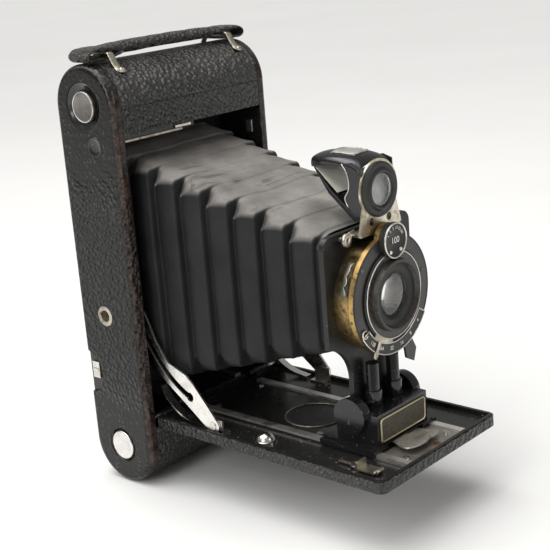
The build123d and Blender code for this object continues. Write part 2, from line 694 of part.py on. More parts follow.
def shutter_blades():
    """The thin stack of blades inside the drum."""
    stack = rod_y(0, LENS_Z, 23.0, -132.8, -131.8)
    return stack - rod_y(0, LENS_Z, 7.0, -134, -131)


def shutter_face():
    """The black front plate, with the boss that carries the speed dial."""
    face = rod_y(0, LENS_Z, FACE_RADIUS, FACE_FRONT, FACE_BACK)
    boss = rod_y(0, DIAL_Z, DIAL_RADIUS - 0.6, -143.3, FACE_BACK)
    face += boss - rod_y(0, LENS_Z, 22.6, -150, FACE_FRONT)
    face -= rod_y(0, LENS_Z, MOUNT_RADIUS, -150, -138)
    return face - rod_y(0, DIAL_Z, 1.5 + RUNNING, -144, -140.2)


def aperture_scale():
    """The crescent under the lens that the pointer sweeps along."""
    start, sweep = 212.0, 116.0
    wide = 28.7
    inner = 22.6

    def at(radius, turn):
        return (radius * cos(radians(turn)), LENS_Z + radius * sin(radians(turn)))
    end = start + sweep
    middle = start + sweep / 2
    outer_arc = ThreePointArc(at(wide, start), at(wide, middle), at(wide, end))
    inner_arc = ThreePointArc(at(inner, end), at(inner, middle), at(inner, start))
    face = make_face([outer_arc, Line(outer_arc @ 1, inner_arc @ 0), inner_arc,
                      Line(inner_arc @ 1, outer_arc @ 0)])
    return slab_y(face, FACE_FRONT - 0.5, FACE_FRONT)


def aperture_pointer():
    """A ring round the lens mount with the arm that sets the opening."""
    front = -143.2
    back = -142.6
    ring = rod_y(0, LENS_Z, 22.2, front, back) - rod_y(0, LENS_Z, MOUNT_RADIUS + RUNNING, -144, -142)
    swing = Pos(0, (front + back) / 2, LENS_Z) * Rot(0, 32, 0)
    arm = swing * Pos(0, 0, -25.8) * Box(2.6, back - front, 8.0)
    tip = swing * Pos(0, 0, -30.0) * Rot(90, 0, 0) * Cylinder(1.9, back - front)
    return ring + arm + tip


def speed_dial():
    dial = rod_y(0, DIAL_Z, DIAL_RADIUS, -145.8, -143.4)
    return dial + rod_y(0, DIAL_Z, 1.5, -144.0, -140.4)


def release_lever():
    """The shutter lever, pivoted in a slot of the drum."""
    blade = rod_between((14.0, -137.3, 88.0), (22.0, -137.3, 74.5), 2.2)
    blade += rod_y(14.0, 88.0, 3.0, -138.0, -136.6)
    blade &= block(0, 60, -138.0, -136.6, 50, 100)
    pad = block(19.6, 24.6, -140.2, -136.6, 71.6, 75.2)
    return blade + pad + rod_y(14.0, 88.0, 1.2, -138.8, -135.7)


def lens_mount():
    """The stepped front ring with its flared hood."""
    return solid_of_turn([
        (GLASS_RADIUS + 0.05, FACE_BACK), (MOUNT_RADIUS, FACE_BACK), (MOUNT_RADIUS, -143.3),
        (HOOD_RADIUS + 0.6, -143.3), (HOOD_RADIUS, HOOD_FRONT), (HOOD_RADIUS - 1.2, HOOD_FRONT),
        (13.6, -143.4), (GLASS_RADIUS + 0.05, -142.6),
    ], 0, LENS_Z)


def front_lens():
    """A glass with a gently domed front."""
    dome_radius = 26.5
    glass = rod_y(0, LENS_Z, GLASS_RADIUS, -144.7, -139.4)
    return glass & Pos(0, -144.7 + dome_radius, LENS_Z) * Sphere(dome_radius)


def rear_lens():
    return rod_y(0, LENS_Z, 10.45, -124.5, -121.8)


def finder_plate():
    """The nickel bracket: round top, flared foot, shelf and its round-headed screw."""
    outline = Pos(0, FINDER_Z) * Circle(14.2)
    outline += make_face(Polyline((-12.6, 154), (-16.0, 142.0), (16.0, 142.0), (12.6, 154), close=True))
    outline -= Pos(-6.5, 146.3) * Circle(1.9)
    outline -= Pos(6.5, 146.3) * Circle(1.9)
    plate = slab_y(outline, -137.6, -136.7)
    plate -= rod_y(0, FINDER_Z, 9.5, -139, -135)
    plate += block(-SHELF_HALF, SHELF_HALF, -137.6, PLATE_FRONT, SHELF_LOW, SHELF_LOW + 1.5)
    screw = rod_y(-20.5, SHELF_LOW, 1.2, -132.4, PLATE_FRONT)
    screw += rod_y(-20.5, SHELF_LOW, 3.0, -134.0, -132.4)
    return plate + screw


def finder_body():
    """The finder's front ring and the bent sheet behind it, open at its sides."""
    front = -136.5
    tip = -104.5
    roof = 175.6
    floor = 146.8
    outside = make_face(Polyline((front, floor), (front, roof), (tip, roof - 1.2), (tip, roof - 3.0),
                                 (-131.0, floor), close=True))
    inside = make_face(Polyline((front + 1.4, floor + 4.4), (front + 1.4, roof - 1.3),
                                (tip - 4.6, roof - 2.2), close=True))
    hood = slab_x(outside, -11.5, 11.5) - slab_x(inside, -13, 13)
    hood -= block(-7.5, 7.5, -131.5, -114.0, 170, 180)
    hood -= rod_y(0, FINDER_Z, 7.5, -137, -133)
    ring = rod_y(0, FINDER_Z, FINDER_RING, -139.3, -137.7) + rod_y(0, FINDER_Z, 9.45, -138, front + 0.2)
    return hood + ring - rod_y(0, FINDER_Z, 7.5, -140, -135)


def finder_lenses():
    """The finder's round front glass and the window in its roof."""
    front_glass = rod_y(0, FINDER_Z, 7.45, -138.8, -136.6)
    roof_glass = block(-7.4, 7.4, -131.4, -114.1, 174.0, 175.2)
    return front_glass + roof_glass


def finder_mirror():
    """The silvered plate lying on the sloping wall."""
    slope = make_face(Polyline((-133.0, 153.05), (-111.0, 171.84), (-111.45, 172.37), (-133.45, 153.58), close=True))
    return slab_x(slope, -10.5, 10.5)


PARTS = {
    "body_casting": body_casting(),
    "side_leather": side_leather(),
    "body_leather": body_leather(),
    "film_gate": film_gate(),
    "film_roller_upper": film_roller(ROLLER_HEIGHTS[0]),
    "film_roller_lower": film_roller(ROLLER_HEIGHTS[1]),
    "bellows_rear_frame": bellows_rear_frame(),
    "bellows": bellows(),
    "inner_rails": inner_rails(),
    "striker_plate": striker_plate(),
    "side_tripod_socket": side_tripod_socket(),
    "spool_pin_upper": spool_pin(UPPER_SPOOL_Z),
    "spool_pin_lower": spool_pin(LOWER_SPOOL_Z),
    "winding_key": winding_key(),
    "key_wing": key_wing(),
    "take_up_spool": take_up_spool(),
    "bed_release_button": bed_release_button(),
    "handle_bails": handle_bails(),
    "handle_strap": handle_strap(),
    "back_cover": back_cover(),
    "back_leather": back_leather(),
    "pressure_plate": pressure_plate(),
    "ruby_window": ruby_window(),
    "back_latch": back_latch(),
    "record_door": record_door(),
    "stylus": stylus(),
    "bed_tray": bed_tray(),
    "bed_leather": bed_leather(),
    "bed_hinge_pin": bed_hinge_pin(),
    "bed_tripod_socket": bed_tripod_socket(),
    "track_plate": track_plate(),
    "track_rails": track_rails(),
    "bed_fasteners": bed_fasteners(),
    "focus_stop_lever": focus_stop_lever(),
    "leg_bracket": leg_bracket(),
    "support_leg": support_leg(),
    "strut_left": strut(-1),
    "strut_right": strut(1),
    "strut_pivots": strut_pivots(),
    "strut_springs": strut_springs(),
    "foot_casting": foot_casting(),
    "nameplate": nameplate(),
    "clamp_tab_left": clamp_tab(-1),
    "clamp_tab_right": clamp_tab(1),
    "support_pillars": support_pillars(),
    "standard_frame": standard_frame(),
    "shutter_case": shutter_case(),
    "shutter_blades": shutter_blades(),
    "shutter_face": shutter_face(),
    "aperture_scale": aperture_scale(),
    "aperture_pointer": aperture_pointer(),
    "speed_dial": speed_dial(),
    "release_lever": release_lever(),
    "lens_mount": lens_mount(),
    "front_lens": front_lens(),
    "rear_lens": rear_lens(),
    "finder_plate": finder_plate(),
    "finder_body": finder_body(),
    "finder_lenses": finder_lenses(),
    "finder_mirror": finder_mirror(),
}

# The origin is the middle of the whole camera's outer box, at its lowest point.
BOXES = [shape.bounding_box() for shape in PARTS.values()]
ORIGIN = Vector(
    (min(b.min.X for b in BOXES) + max(b.max.X for b in BOXES)) / 2,
    (min(b.min.Y for b in BOXES) + max(b.max.Y for b in BOXES)) / 2,
    min(b.min.Z for b in BOXES),
)

os.makedirs("parts", exist_ok=True)
for name, shape in PARTS.items():
    solids = shape.moved(Location(-ORIGIN)).solids()
    export_step(solids[0] if len(solids) == 1 else Compound(children=solids), f"parts/{name}.step")
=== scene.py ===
import math

import bpy
import bmesh
from mathutils import Matrix, Vector, noise


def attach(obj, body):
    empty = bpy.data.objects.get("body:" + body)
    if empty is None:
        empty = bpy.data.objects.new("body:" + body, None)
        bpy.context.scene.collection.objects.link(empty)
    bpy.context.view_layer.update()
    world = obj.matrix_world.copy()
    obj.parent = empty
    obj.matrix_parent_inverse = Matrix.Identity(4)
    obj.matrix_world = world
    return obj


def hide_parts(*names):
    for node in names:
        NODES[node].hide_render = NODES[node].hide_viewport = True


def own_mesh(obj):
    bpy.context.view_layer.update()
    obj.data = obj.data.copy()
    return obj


# Folding camera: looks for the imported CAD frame. The CAD's build coordinates
# (millimetres, x and y from the case's middle, z from its lower end) are used
# for every position, and at() turns them into the shared frame in metres.
ORIGIN = (2.05, -70.95, 0.0)

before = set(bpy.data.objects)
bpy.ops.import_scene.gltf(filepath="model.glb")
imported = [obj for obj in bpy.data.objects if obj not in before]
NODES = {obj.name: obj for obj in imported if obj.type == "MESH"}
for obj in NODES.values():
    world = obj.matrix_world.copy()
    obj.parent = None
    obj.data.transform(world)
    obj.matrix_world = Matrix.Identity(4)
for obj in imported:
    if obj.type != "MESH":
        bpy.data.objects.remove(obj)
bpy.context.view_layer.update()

LENS_Z = 110.5
FINDER_Z = 160.5
DIAL_Z = 137.0


def at(x, y, z):
    return Vector(((x - ORIGIN[0]) / 1000, (y - ORIGIN[1]) / 1000, (z - ORIGIN[2]) / 1000))


def fx(x):
    """A build x as metres in the shared frame, for materials."""
    return (x - ORIGIN[0]) / 1000


def fy(y):
    """A build y as metres in the shared frame, for materials."""
    return (y - ORIGIN[1]) / 1000


def clamp(value, low=0.0, high=1.0):
    return max(low, min(high, value))


def ease(low, high, value):
    t = clamp((value - low) / (high - low))
    return t * t * (3 - 2 * t)


def ripple(x, y, z, scale, seed=0.0):
    """Smooth noise from -1 to 1; scale is the size of its bumps in mm."""
    return noise.noise(Vector((x / scale + seed, y / scale - seed, z / scale + 2 * seed)))


def signed_power(value, power):
    return math.copysign(abs(value) ** power, value)


# ---- materials -----------------------------------------------------------
class Finish:
    """A node material, with short calls for the nodes that it is made of."""

    def __init__(self, name, metallic=0.0, specular=0.5, coat=0.0, coat_roughness=0.1,
                 transmission=0.0, ior=1.5):
        self.material = bpy.data.materials.new(name)
        self.material.use_nodes = True
        self.nodes = self.material.node_tree.nodes
        self.links = self.material.node_tree.links
        self.shader = self.nodes["Principled BSDF"]
        even = {"Metallic": metallic, "Specular IOR Level": specular, "Coat Weight": coat,
                "Coat Roughness": coat_roughness, "Transmission Weight": transmission, "IOR": ior}
        for socket, value in even.items():
            self.shader.inputs[socket].default_value = value
        self.place = self.nodes.new("ShaderNodeTexCoord").outputs["Object"]

    def put(self, socket, value):
        if isinstance(value, bpy.types.NodeSocket):
            self.links.new(value, socket)
        else:
            socket.default_value = value

    def noise(self, scale, detail=4.0, rough=0.55, warp=0.0, stretch=None):
        node = self.nodes.new("ShaderNodeTexNoise")
        node.inputs["Scale"].default_value = scale
        node.inputs["Detail"].default_value = detail
        node.inputs["Roughness"].default_value = rough
        node.inputs["Distortion"].default_value = warp
        self.put(node.inputs["Vector"], self.stretched(stretch))
        return node.outputs["Fac"]

    def stretched(self, stretch):
        if stretch is None:
            return self.place
        node = self.nodes.new("ShaderNodeMapping")
        self.links.new(self.place, node.inputs["Vector"])
        node.inputs["Scale"].default_value = stretch
        return node.outputs["Vector"]

    def cells(self, scale, smooth, warp=0.0006):
        """Voronoi cells, with their walls bent a little by noise."""
        bend = self.nodes.new("ShaderNodeTexNoise")
        bend.inputs["Scale"].default_value = scale * 0.8
        self.links.new(self.place, bend.inputs["Vector"])
        shift = self.nodes.new("ShaderNodeVectorMath")
        shift.operation = "MULTIPLY_ADD"
        self.links.new(bend.outputs["Color"], shift.inputs[0])
        shift.inputs[1].default_value = (warp, warp, warp)
        self.links.new(self.place, shift.inputs[2])
        node = self.nodes.new("ShaderNodeTexVoronoi")
        node.feature = "SMOOTH_F1"
        node.inputs["Scale"].default_value = scale
        node.inputs["Smoothness"].default_value = smooth
        self.links.new(shift.outputs[0], node.inputs["Vector"])
        return node.outputs["Distance"]

    def ramp(self, value, *stops):
        """Colours, or greys, against a value: each stop is (position, colour or grey)."""
        node = self.nodes.new("ShaderNodeValToRGB")
        self.links.new(value, node.inputs["Fac"])
        points = node.color_ramp.elements
        while len(points) < len(stops):
            points.new(0.5)
        for point, (position, colour) in zip(points, stops):
            point.position = position
            grey = not isinstance(colour, (tuple, list))
            point.color = (colour, colour, colour, 1) if grey else (*colour, 1)
        return node.outputs["Color"]

    def mix(self, share, a, b):
        node = self.nodes.new("ShaderNodeMix")
        node.data_type = "RGBA"
        self.put(node.inputs["Factor"], share)
        for name, value in (("A", a), ("B", b)):
            socket = [s for s in node.inputs if s.name == name and s.type == "RGBA"][0]
            self.put(socket, (*value, 1) if isinstance(value, tuple) else value)
        return [s for s in node.outputs if s.type == "RGBA"][0]

    def math(self, operation, a, b=0.0, limit=False):
        node = self.nodes.new("ShaderNodeMath")
        node.operation = operation
        node.use_clamp = limit
        self.put(node.inputs[0], a)
        self.put(node.inputs[1], b)
        return node.outputs[0]

    def times(self, a, b):
        return self.math("MULTIPLY", a, b)

    def most(self, a, b):
        return self.math("MAXIMUM", a, b)

    def wander(self, value, scale, reach, detail=4.0, rough=0.55):
        """A value moved about by noise, for a ragged edge."""
        return self.math("ADD", value, self.times(self.noise(scale, detail, rough), reach))

    def axis(self, name):
        """One of X, Y and Z of the place on the object, in metres of the shared frame."""
        node = self.nodes.new("ShaderNodeSeparateXYZ")
        self.links.new(self.place, node.inputs[0])
        return node.outputs[name]

    def facing(self, name):
        """How far the surface faces along X, Y or Z, from -1 to 1."""
        geometry = self.nodes.new("ShaderNodeNewGeometry")
        node = self.nodes.new("ShaderNodeSeparateXYZ")
        self.links.new(geometry.outputs["Normal"], node.inputs[0])
        return node.outputs[name]

    def band(self, value, low, high):
        """0 below low, 1 above high, and smooth between (low may be above high)."""
        node = self.nodes.new("ShaderNodeMapRange")
        node.interpolation_type = "SMOOTHSTEP"
        self.put(node.inputs["Value"], value)
        node.inputs["From Min"].default_value = low
        node.inputs["From Max"].default_value = high
        return node.outputs["Result"]

    def over(self, colour, other, value, low, high, amount=None):
        """other laid over colour where value is above low, and most where it is above high."""
        share = self.band(value, low, high)
        return self.mix(share if amount is None else self.times(share, amount), colour, other)

    def bump(self, height, depth, strength=1.0, onto=None):
        """Height from 0 to 1 raises the surface by depth metres."""
        node = self.nodes.new("ShaderNodeBump")
        node.inputs["Strength"].default_value = strength
        node.inputs["Distance"].default_value = depth
        self.put(node.inputs["Height"], height)
        if onto is not None:
            self.links.new(onto, node.inputs["Normal"])
        return node.outputs["Normal"]

    def finish(self, colour, roughness, normal=None):
        self.put(self.shader.inputs["Base Color"], colour)
        self.put(self.shader.inputs["Roughness"], roughness)
        if normal is not None:
            self.links.new(normal, self.shader.inputs["Normal"])
        return self.material


def pebble(name, dark, pale, worn_sides=False, dust=0.8, specular=0.5):
    """Grained leathercloth; on the sides of the case it is rubbed smooth at both ends. dust sets how far the
    upward faces turn pale, partly as dust and partly as painted top light.
    """
    f = Finish(name, specular=specular)
    grain = f.cells(410, 0.30)
    fine = f.noise(2600, 3)
    broad = f.noise(38, 5, 0.6)
    ridge = f.math("SUBTRACT", 1.0, f.times(grain, 1.5), True)
    height = f.math("ADD", ridge, f.times(fine, 0.25))
    rubbed = f.band(broad, 0.50, 0.72)
    if worn_sides:
        level = f.wander(f.axis("Z"), 55, 0.03, 5, 0.65)
        ends = f.most(f.band(level, 0.158, 0.182), f.band(level, 0.086, 0.056))
        rubbed = f.most(rubbed, ends)
        height = f.times(height, f.math("SUBTRACT", 1.0, f.times(ends, 0.955)))
    tips = f.times(f.band(ridge, 0.40, 0.88), f.band(f.noise(120, 4), 0.38, 0.64))
    colour = f.mix(tips, dark, pale)
    scuffs = f.noise(260, 6, 0.7, stretch=(1, 1, 0.35))
    colour = f.over(colour, (0.105, 0.094, 0.085), scuffs, 0.64, 0.72, 0.35)
    if worn_sides:
        front = f.band(f.axis("Y"), fy(-18.6), fy(-20.6))
        corners = [f.times(front, f.band(f.axis("X"), fx(side * 48.0), fx(side * 49.6))) for side in (-1, 1)]
        rust = f.times(f.most(*corners), f.band(f.noise(210, 5, 0.65), 0.36, 0.62))
        colour = f.mix(f.times(rust, 0.8), colour, (0.050, 0.026, 0.020))
        worn = f.times(rust, f.band(f.noise(520, 4, 0.7), 0.56, 0.66))
        colour = f.mix(f.times(worn, 0.7), colour, (0.15, 0.115, 0.095))
    # The upward faces turn a paler speckled grey-brown: partly dust, partly painted top light.
    up = f.times(f.band(f.facing("Z"), 0.15, 0.75), f.band(f.noise(60, 5, 0.65), 0.34, 0.60))
    dust_and_painted_top_light = f.mix(f.band(ridge, 0.30, 0.90), (0.045, 0.041, 0.037), (0.150, 0.140, 0.125))
    colour = f.mix(f.times(up, dust), colour, dust_and_painted_top_light)
    if worn_sides:
        side = f.math("ABSOLUTE", f.facing("X"))
        rim = f.times(f.band(side, 0.10, 0.30), f.band(side, 0.97, 0.80))
        rim = f.times(rim, f.band(f.noise(330, 5, 0.7), 0.46, 0.62))
        colour = f.mix(f.times(rim, 0.7), colour, (0.088, 0.070, 0.058))
    roughness = f.ramp(rubbed, (0.0, 0.30), (1.0, 0.20))
    return f.finish(colour, roughness, f.bump(height, 0.0024, 1.0, f.bump(broad, 0.0012, 0.25)))


def enamel(name, base=(0.011, 0.011, 0.012), rough=0.2, chips=0.10, coat=0.25):
    """Baked black enamel with fine scratches, dust and a few chips."""
    f = Finish(name, specular=0.36, coat=coat, coat_roughness=0.12)
    scratch = f.noise(300, 6, 0.75, 0.4, (1.0, 0.18, 1.0))
    dust = f.noise(900, 5, 0.7)
    broad = f.noise(45, 4)
    colour = f.over(base, (0.052, 0.050, 0.047), scratch, 0.60, 0.72)
    colour = f.over(colour, (0.11, 0.105, 0.098), dust, 0.61, 0.70, 0.5)
    chip = f.times(f.band(f.noise(420, 3, 0.6, 0.2), 0.685, 0.70), chips * 6)
    colour = f.mix(f.math("MINIMUM", chip, 1.0), colour, (0.22, 0.20, 0.18))
    blend = f.math("ADD", f.times(broad, 0.6), f.times(scratch, 0.4))
    roughness = f.ramp(blend, (0.30, rough * 0.7), (0.75, rough * 1.9))
    return f.finish(colour, roughness, f.bump(f.noise(1500, 3), 0.00004, 0.5, f.bump(broad, 0.0004, 0.3)))


def plated(name, bright=(0.73, 0.70, 0.65), tarnish=(0.30, 0.26, 0.20), rough=0.20, amount=0.5, rust=0.0):
    """Nickel plate that has dulled in patches, with spots of rust if asked for."""
    f = Finish(name, metallic=1.0)
    patches = f.noise(140, 6, 0.65, 0.3)
    spots = f.noise(1100, 4, 0.6)
    colour = f.over(bright, tarnish, patches, 0.40, 0.70, amount)
    colour = f.over(colour, (0.12, 0.10, 0.08), spots, 0.60, 0.68, 0.55)
    if rust:
        colour = f.over(colour, (0.16, 0.06, 0.025), f.noise(260, 4, 0.6, 0.2), 0.60, 0.64, rust)
    roughness = f.ramp(patches, (0.30, rough), (0.75, rough * 2.3))
    lines = f.noise(2400, 3, 0.6, 0.0, (1.0, 0.1, 1.0))
    return f.finish(colour, roughness, f.bump(lines, 0.00003, 0.35, f.bump(patches, 0.0002, 0.3)))


def tarnished_brass(name):
    """Lacquered brass, golden where it is sound and grey-green or dark where it isn't."""
    f = Finish(name, metallic=1.0)
    patches = f.noise(75, 5, 0.6, 0.5)
    small = f.noise(330, 5, 0.65, 0.4)
    gold = f.ramp(f.noise(60, 3), (0.32, (0.50, 0.31, 0.09)), (0.50, (0.66, 0.45, 0.16)),
                  (0.68, (0.56, 0.34, 0.12)))
    colour = f.over(gold, (0.30, 0.31, 0.22), patches, 0.50, 0.60)
    colour = f.over(colour, (0.10, 0.075, 0.04), small, 0.56, 0.66, 0.8)
    return f.finish(colour, f.ramp(small, (0.3, 0.24), (0.7, 0.52)), f.bump(small, 0.0002, 0.4))


def drum_brass(name):
    """Brass of the shutter's drum: golden ends, and a dark worn stretch round the torn leaf."""
    f = Finish(name, metallic=1.0)
    small = f.noise(330, 5, 0.65, 0.4)
    gold = f.ramp(f.noise(95, 4, 0.6, 0.5), (0.34, (0.20, 0.13, 0.045)), (0.50, (0.44, 0.31, 0.13)),
                  (0.66, (0.28, 0.18, 0.07)))
    level = f.wander(f.axis("Z"), 130, 0.016, 4, 0.6)
    dark = f.times(f.band(level, 0.121, 0.128), f.band(level, 0.148, 0.141))
    spots = f.most(f.times(dark, 0.75), f.times(f.band(small, 0.52, 0.62), 0.8))
    colour = f.mix(spots, gold, (0.085, 0.068, 0.042))
    colour = f.over(colour, (0.20, 0.20, 0.12), f.noise(60, 4, 0.6, 0.6), 0.54, 0.64, 0.7)
    return f.finish(colour, f.ramp(small, (0.3, 0.26), (0.7, 0.50)), f.bump(small, 0.0002, 0.4))


def bellows_cloth(name):
    """Matt charcoal leather; its upward faces are painted grey-brown, partly as dust and rubbing and partly
    as painted top light.
    """
    f = Finish(name, specular=0.28)
    # up picks the upward faces, whose paler colour is partly dust and partly painted top light.
    up = f.band(f.facing("Z"), 0.12, 0.85)
    cloud = f.noise(34, 5, 0.6)
    creases = f.noise(70, 6, 0.7, 1.2, (0.35, 1.6, 1.0))
    side = f.ramp(f.noise(60, 4), (0.35, (0.0085, 0.009, 0.0095)), (0.7, (0.016, 0.0165, 0.017)))
    dust_and_painted_top_light = f.ramp(cloud, (0.30, (0.120, 0.112, 0.104)), (0.50, (0.200, 0.188, 0.173)),
                   (0.70, (0.290, 0.273, 0.250)))
    dust_and_painted_top_light = f.over(dust_and_painted_top_light, (0.045, 0.040, 0.036), creases, 0.58, 0.66, 0.55)
    streaks = f.noise(210, 4, 0.6, 0.6, (1.0, 0.5, 1.0))
    dust_and_painted_top_light = f.over(dust_and_painted_top_light, (0.26, 0.25, 0.23), streaks, 0.65, 0.70, 0.6)
    side = f.over(side, (0.10, 0.095, 0.09), f.noise(500, 5, 0.7), 0.66, 0.74, 0.4)
    normal = f.bump(f.noise(2200, 3), 0.00006, 0.5, f.bump(creases, 0.0006, 0.45))
    return f.finish(f.mix(up, side, dust_and_painted_top_light), f.ramp(cloud, (0.3, 0.52), (0.7, 0.68)), normal)


def glassy(name, tint=(0.96, 0.97, 0.97), rough=0.02):
    f = Finish(name, transmission=1.0, ior=1.52)
    haze = f.noise(160, 4)
    colour = f.over(tint, tuple(0.8 * c for c in tint), haze, 0.55, 0.75, 0.2)
    return f.finish(colour, f.ramp(haze, (0.3, rough), (0.8, rough * 3)))


def painted(name, low, high, rough=0.5, specular=0.5, depth=0.0001, scale=160):
    """An even paint or varnish with slight clouding and dirt."""
    f = Finish(name, specular=specular)
    cloud = f.noise(scale, 5, 0.6)
    colour = f.ramp(cloud, (0.32, low), (0.70, high))
    roughness = f.ramp(cloud, (0.3, rough), (0.75, rough * 1.3))
    return f.finish(colour, roughness, f.bump(f.noise(1200, 3), depth, 0.4))


def split_by_depth(name, front, behind, edge_y):
    """Dark satin in front of edge_y and tarnished brass behind it, for a plate on a drum."""
    f = Finish(name)
    back_part = f.band(f.axis("Y"), fy(edge_y - 0.15), fy(edge_y + 0.15))
    dark = f.over(front, (0.085, 0.080, 0.074), f.noise(700, 5, 0.7), 0.60, 0.72, 0.5)
    gold = f.over(behind, (0.13, 0.10, 0.06), f.noise(330, 5, 0.65, 0.4), 0.52, 0.64)
    f.put(f.shader.inputs["Metallic"], back_part)
    roughness = f.ramp(f.noise(90, 4), (0.3, 0.30), (0.7, 0.44))
    return f.finish(f.mix(back_part, dark, gold), roughness, f.bump(f.noise(900, 4), 0.00004, 0.5))


def worn_track(name):
    """Black enamel that is worn to bare metal at the bed's front edge, with a rust spot."""
    f = Finish(name, coat=0.15)
    frayed = f.wander(f.axis("Y"), 160, 0.016, 5, 0.7)
    bare = f.band(frayed, fy(-144.0) + 0.008, fy(-148.0) + 0.008)
    scratch = f.noise(300, 6, 0.75, 0.4, (1.0, 0.15, 1.0))
    dark = f.over((0.014, 0.0135, 0.013), (0.060, 0.056, 0.050), scratch, 0.60, 0.70)
    metal = f.mix(f.noise(240, 5, 0.65), (0.20, 0.185, 0.16), (0.42, 0.39, 0.34))
    away_x = f.math("ABSOLUTE", f.math("SUBTRACT", f.axis("X"), fx(4.5)))
    away_y = f.math("ABSOLUTE", f.math("SUBTRACT", f.axis("Y"), fy(-161.0)))
    spot = f.wander(f.math("ADD", away_x, away_y), 400, 0.004)
    metal = f.over(metal, (0.26, 0.10, 0.045), spot, 0.0058, 0.0040)
    f.put(f.shader.inputs["Metallic"], f.times(bare, 0.6))
    roughness = f.ramp(f.noise(60, 4), (0.3, 0.20), (0.7, 0.40))
    return f.finish(f.mix(bare, dark, metal), roughness, f.bump(f.noise(1200, 3), 0.00005, 0.4))


# Each dust value sets the paler upward faces: partly dust, partly painted top light.
SIDE_LEATHER = pebble("side_leathercloth", (0.0070, 0.0068, 0.0064), (0.058, 0.055, 0.050), True, 0.8, 0.32)
CASE_LEATHER = pebble("case_leathercloth", (0.0125, 0.0120, 0.0115), (0.105, 0.100, 0.092),
                      dust=0.9, specular=0.65)
HANDLE_LEATHER = pebble("handle_leather", (0.034, 0.029, 0.025), (0.110, 0.096, 0.084), dust=0.95)
ENAMEL = enamel("black_enamel")
BED_ENAMEL = enamel("bed_enamel", (0.014, 0.0135, 0.013), 0.22, 0.16)
GLOSS_ENAMEL = enamel("gloss_enamel", (0.009, 0.009, 0.010), 0.13, 0.06, 0.3)
STANDARD_ENAMEL = enamel("standard_enamel", (0.012, 0.012, 0.012), 0.30, 0.08, 0.0)
SATIN = enamel("satin_black", (0.024, 0.0235, 0.023), 0.34, 0.02, 0.0)
WELL_BLACK = enamel("well_black", (0.010, 0.010, 0.010), 0.14, 0.2, 0.5)
DISH_BLACK = enamel("dish_black", (0.016, 0.016, 0.016), 0.30, 0.1, 0.0)
NICKEL = plated("worn_nickel")
BRIGHT_NICKEL = plated("bright_nickel", (0.82, 0.80, 0.77), (0.45, 0.42, 0.38), 0.15, 0.35)
DULL_NICKEL = plated("dull_nickel", (0.56, 0.52, 0.44), (0.24, 0.19, 0.13), 0.30, 0.8, 0.7)
YELLOW_NICKEL = plated("brassy_nickel", (0.70, 0.66, 0.55), (0.30, 0.235, 0.13), 0.22, 0.85, 0.2)
BLACK_STEEL = plated("blackened_steel", (0.20, 0.19, 0.19), (0.07, 0.065, 0.06), 0.34, 0.7)
MIRROR = plated("silvering", (0.88, 0.88, 0.86), (0.62, 0.60, 0.56), 0.06, 0.3)
RAIL = plated("rail_nickel", (0.88, 0.86, 0.82), (0.50, 0.46, 0.40), 0.28, 0.5)
LEAF_GREY = plated("torn_leaf_grey", (0.50, 0.50, 0.44), (0.27, 0.26, 0.19), 0.34, 0.9)
BRASS_BRIGHT = plated("bright_brass", (0.72, 0.66, 0.46), (0.40, 0.35, 0.20), 0.28, 0.7)
# Dark grey nickel for the upper pull disc, whose twin below is bright nickel: a painted dark reflection.
KNOB_PAINTED_SHADE = plated("knob_nickel_painted_shade", (0.26, 0.245, 0.23), (0.13, 0.12, 0.11), 0.26, 0.7)
TAB_NICKEL = plated("tab_nickel", (0.60, 0.57, 0.51), (0.36, 0.32, 0.27), 0.36, 0.9, 0.5)
BRASS = tarnished_brass("tarnished_brass")
DRUM_BRASS = drum_brass("drum_brass")
BELLOWS = bellows_cloth("bellows_leather")
GLASS = glassy("lens_glass")
RUBY = glassy("ruby_glass", (0.45, 0.01, 0.01), 0.04)
# A pale cream paint for the card in the finder mirror's place: a painted reflection of the bright mirror.
PAINTED_MIRROR_REFLECTION = painted("mirror_card_painted_reflection", (0.72, 0.70, 0.60), (0.86, 0.84, 0.75), 0.4)
INNER_BLACK = painted("chamber_black", (0.006, 0.006, 0.006), (0.014, 0.013, 0.012), 0.7, 0.3)
CONE_BLACK = painted("cone_black", (0.010, 0.010, 0.010), (0.022, 0.021, 0.020), 0.42, 0.4)
BROWN_FLANGE = painted("browned_ring", (0.019, 0.0165, 0.0145), (0.046, 0.039, 0.034), 0.26,
                       depth=0.00008, scale=500)
PLATE_DARK = painted("plate_dark", (0.030, 0.026, 0.018), (0.10, 0.085, 0.055), 0.45, 0.5, 0.0001, 700)
# A near-white diffuse paint for the sheet behind the finder's front lens: a painted reflection (glint).
PAINTED_GLINT = painted("painted_glint_sheet", (0.60, 0.60, 0.59), (0.90, 0.90, 0.88), 0.15, 0.8, 0.0002, 110)
# An opaque pale grey paint for the finder's roof window: a painted reflection in place of clear glass.
PAINTED_ROOF_REFLECTION = painted("roof_window_painted_reflection", (0.25, 0.25, 0.245), (0.46, 0.46, 0.45), 0.08, 0.8, 0.0002, 120)
FACE = split_by_depth("shutter_face_satin", (0.030, 0.0295, 0.028), (0.55, 0.36, 0.13), -141.5)
TRACK = worn_track("worn_track")

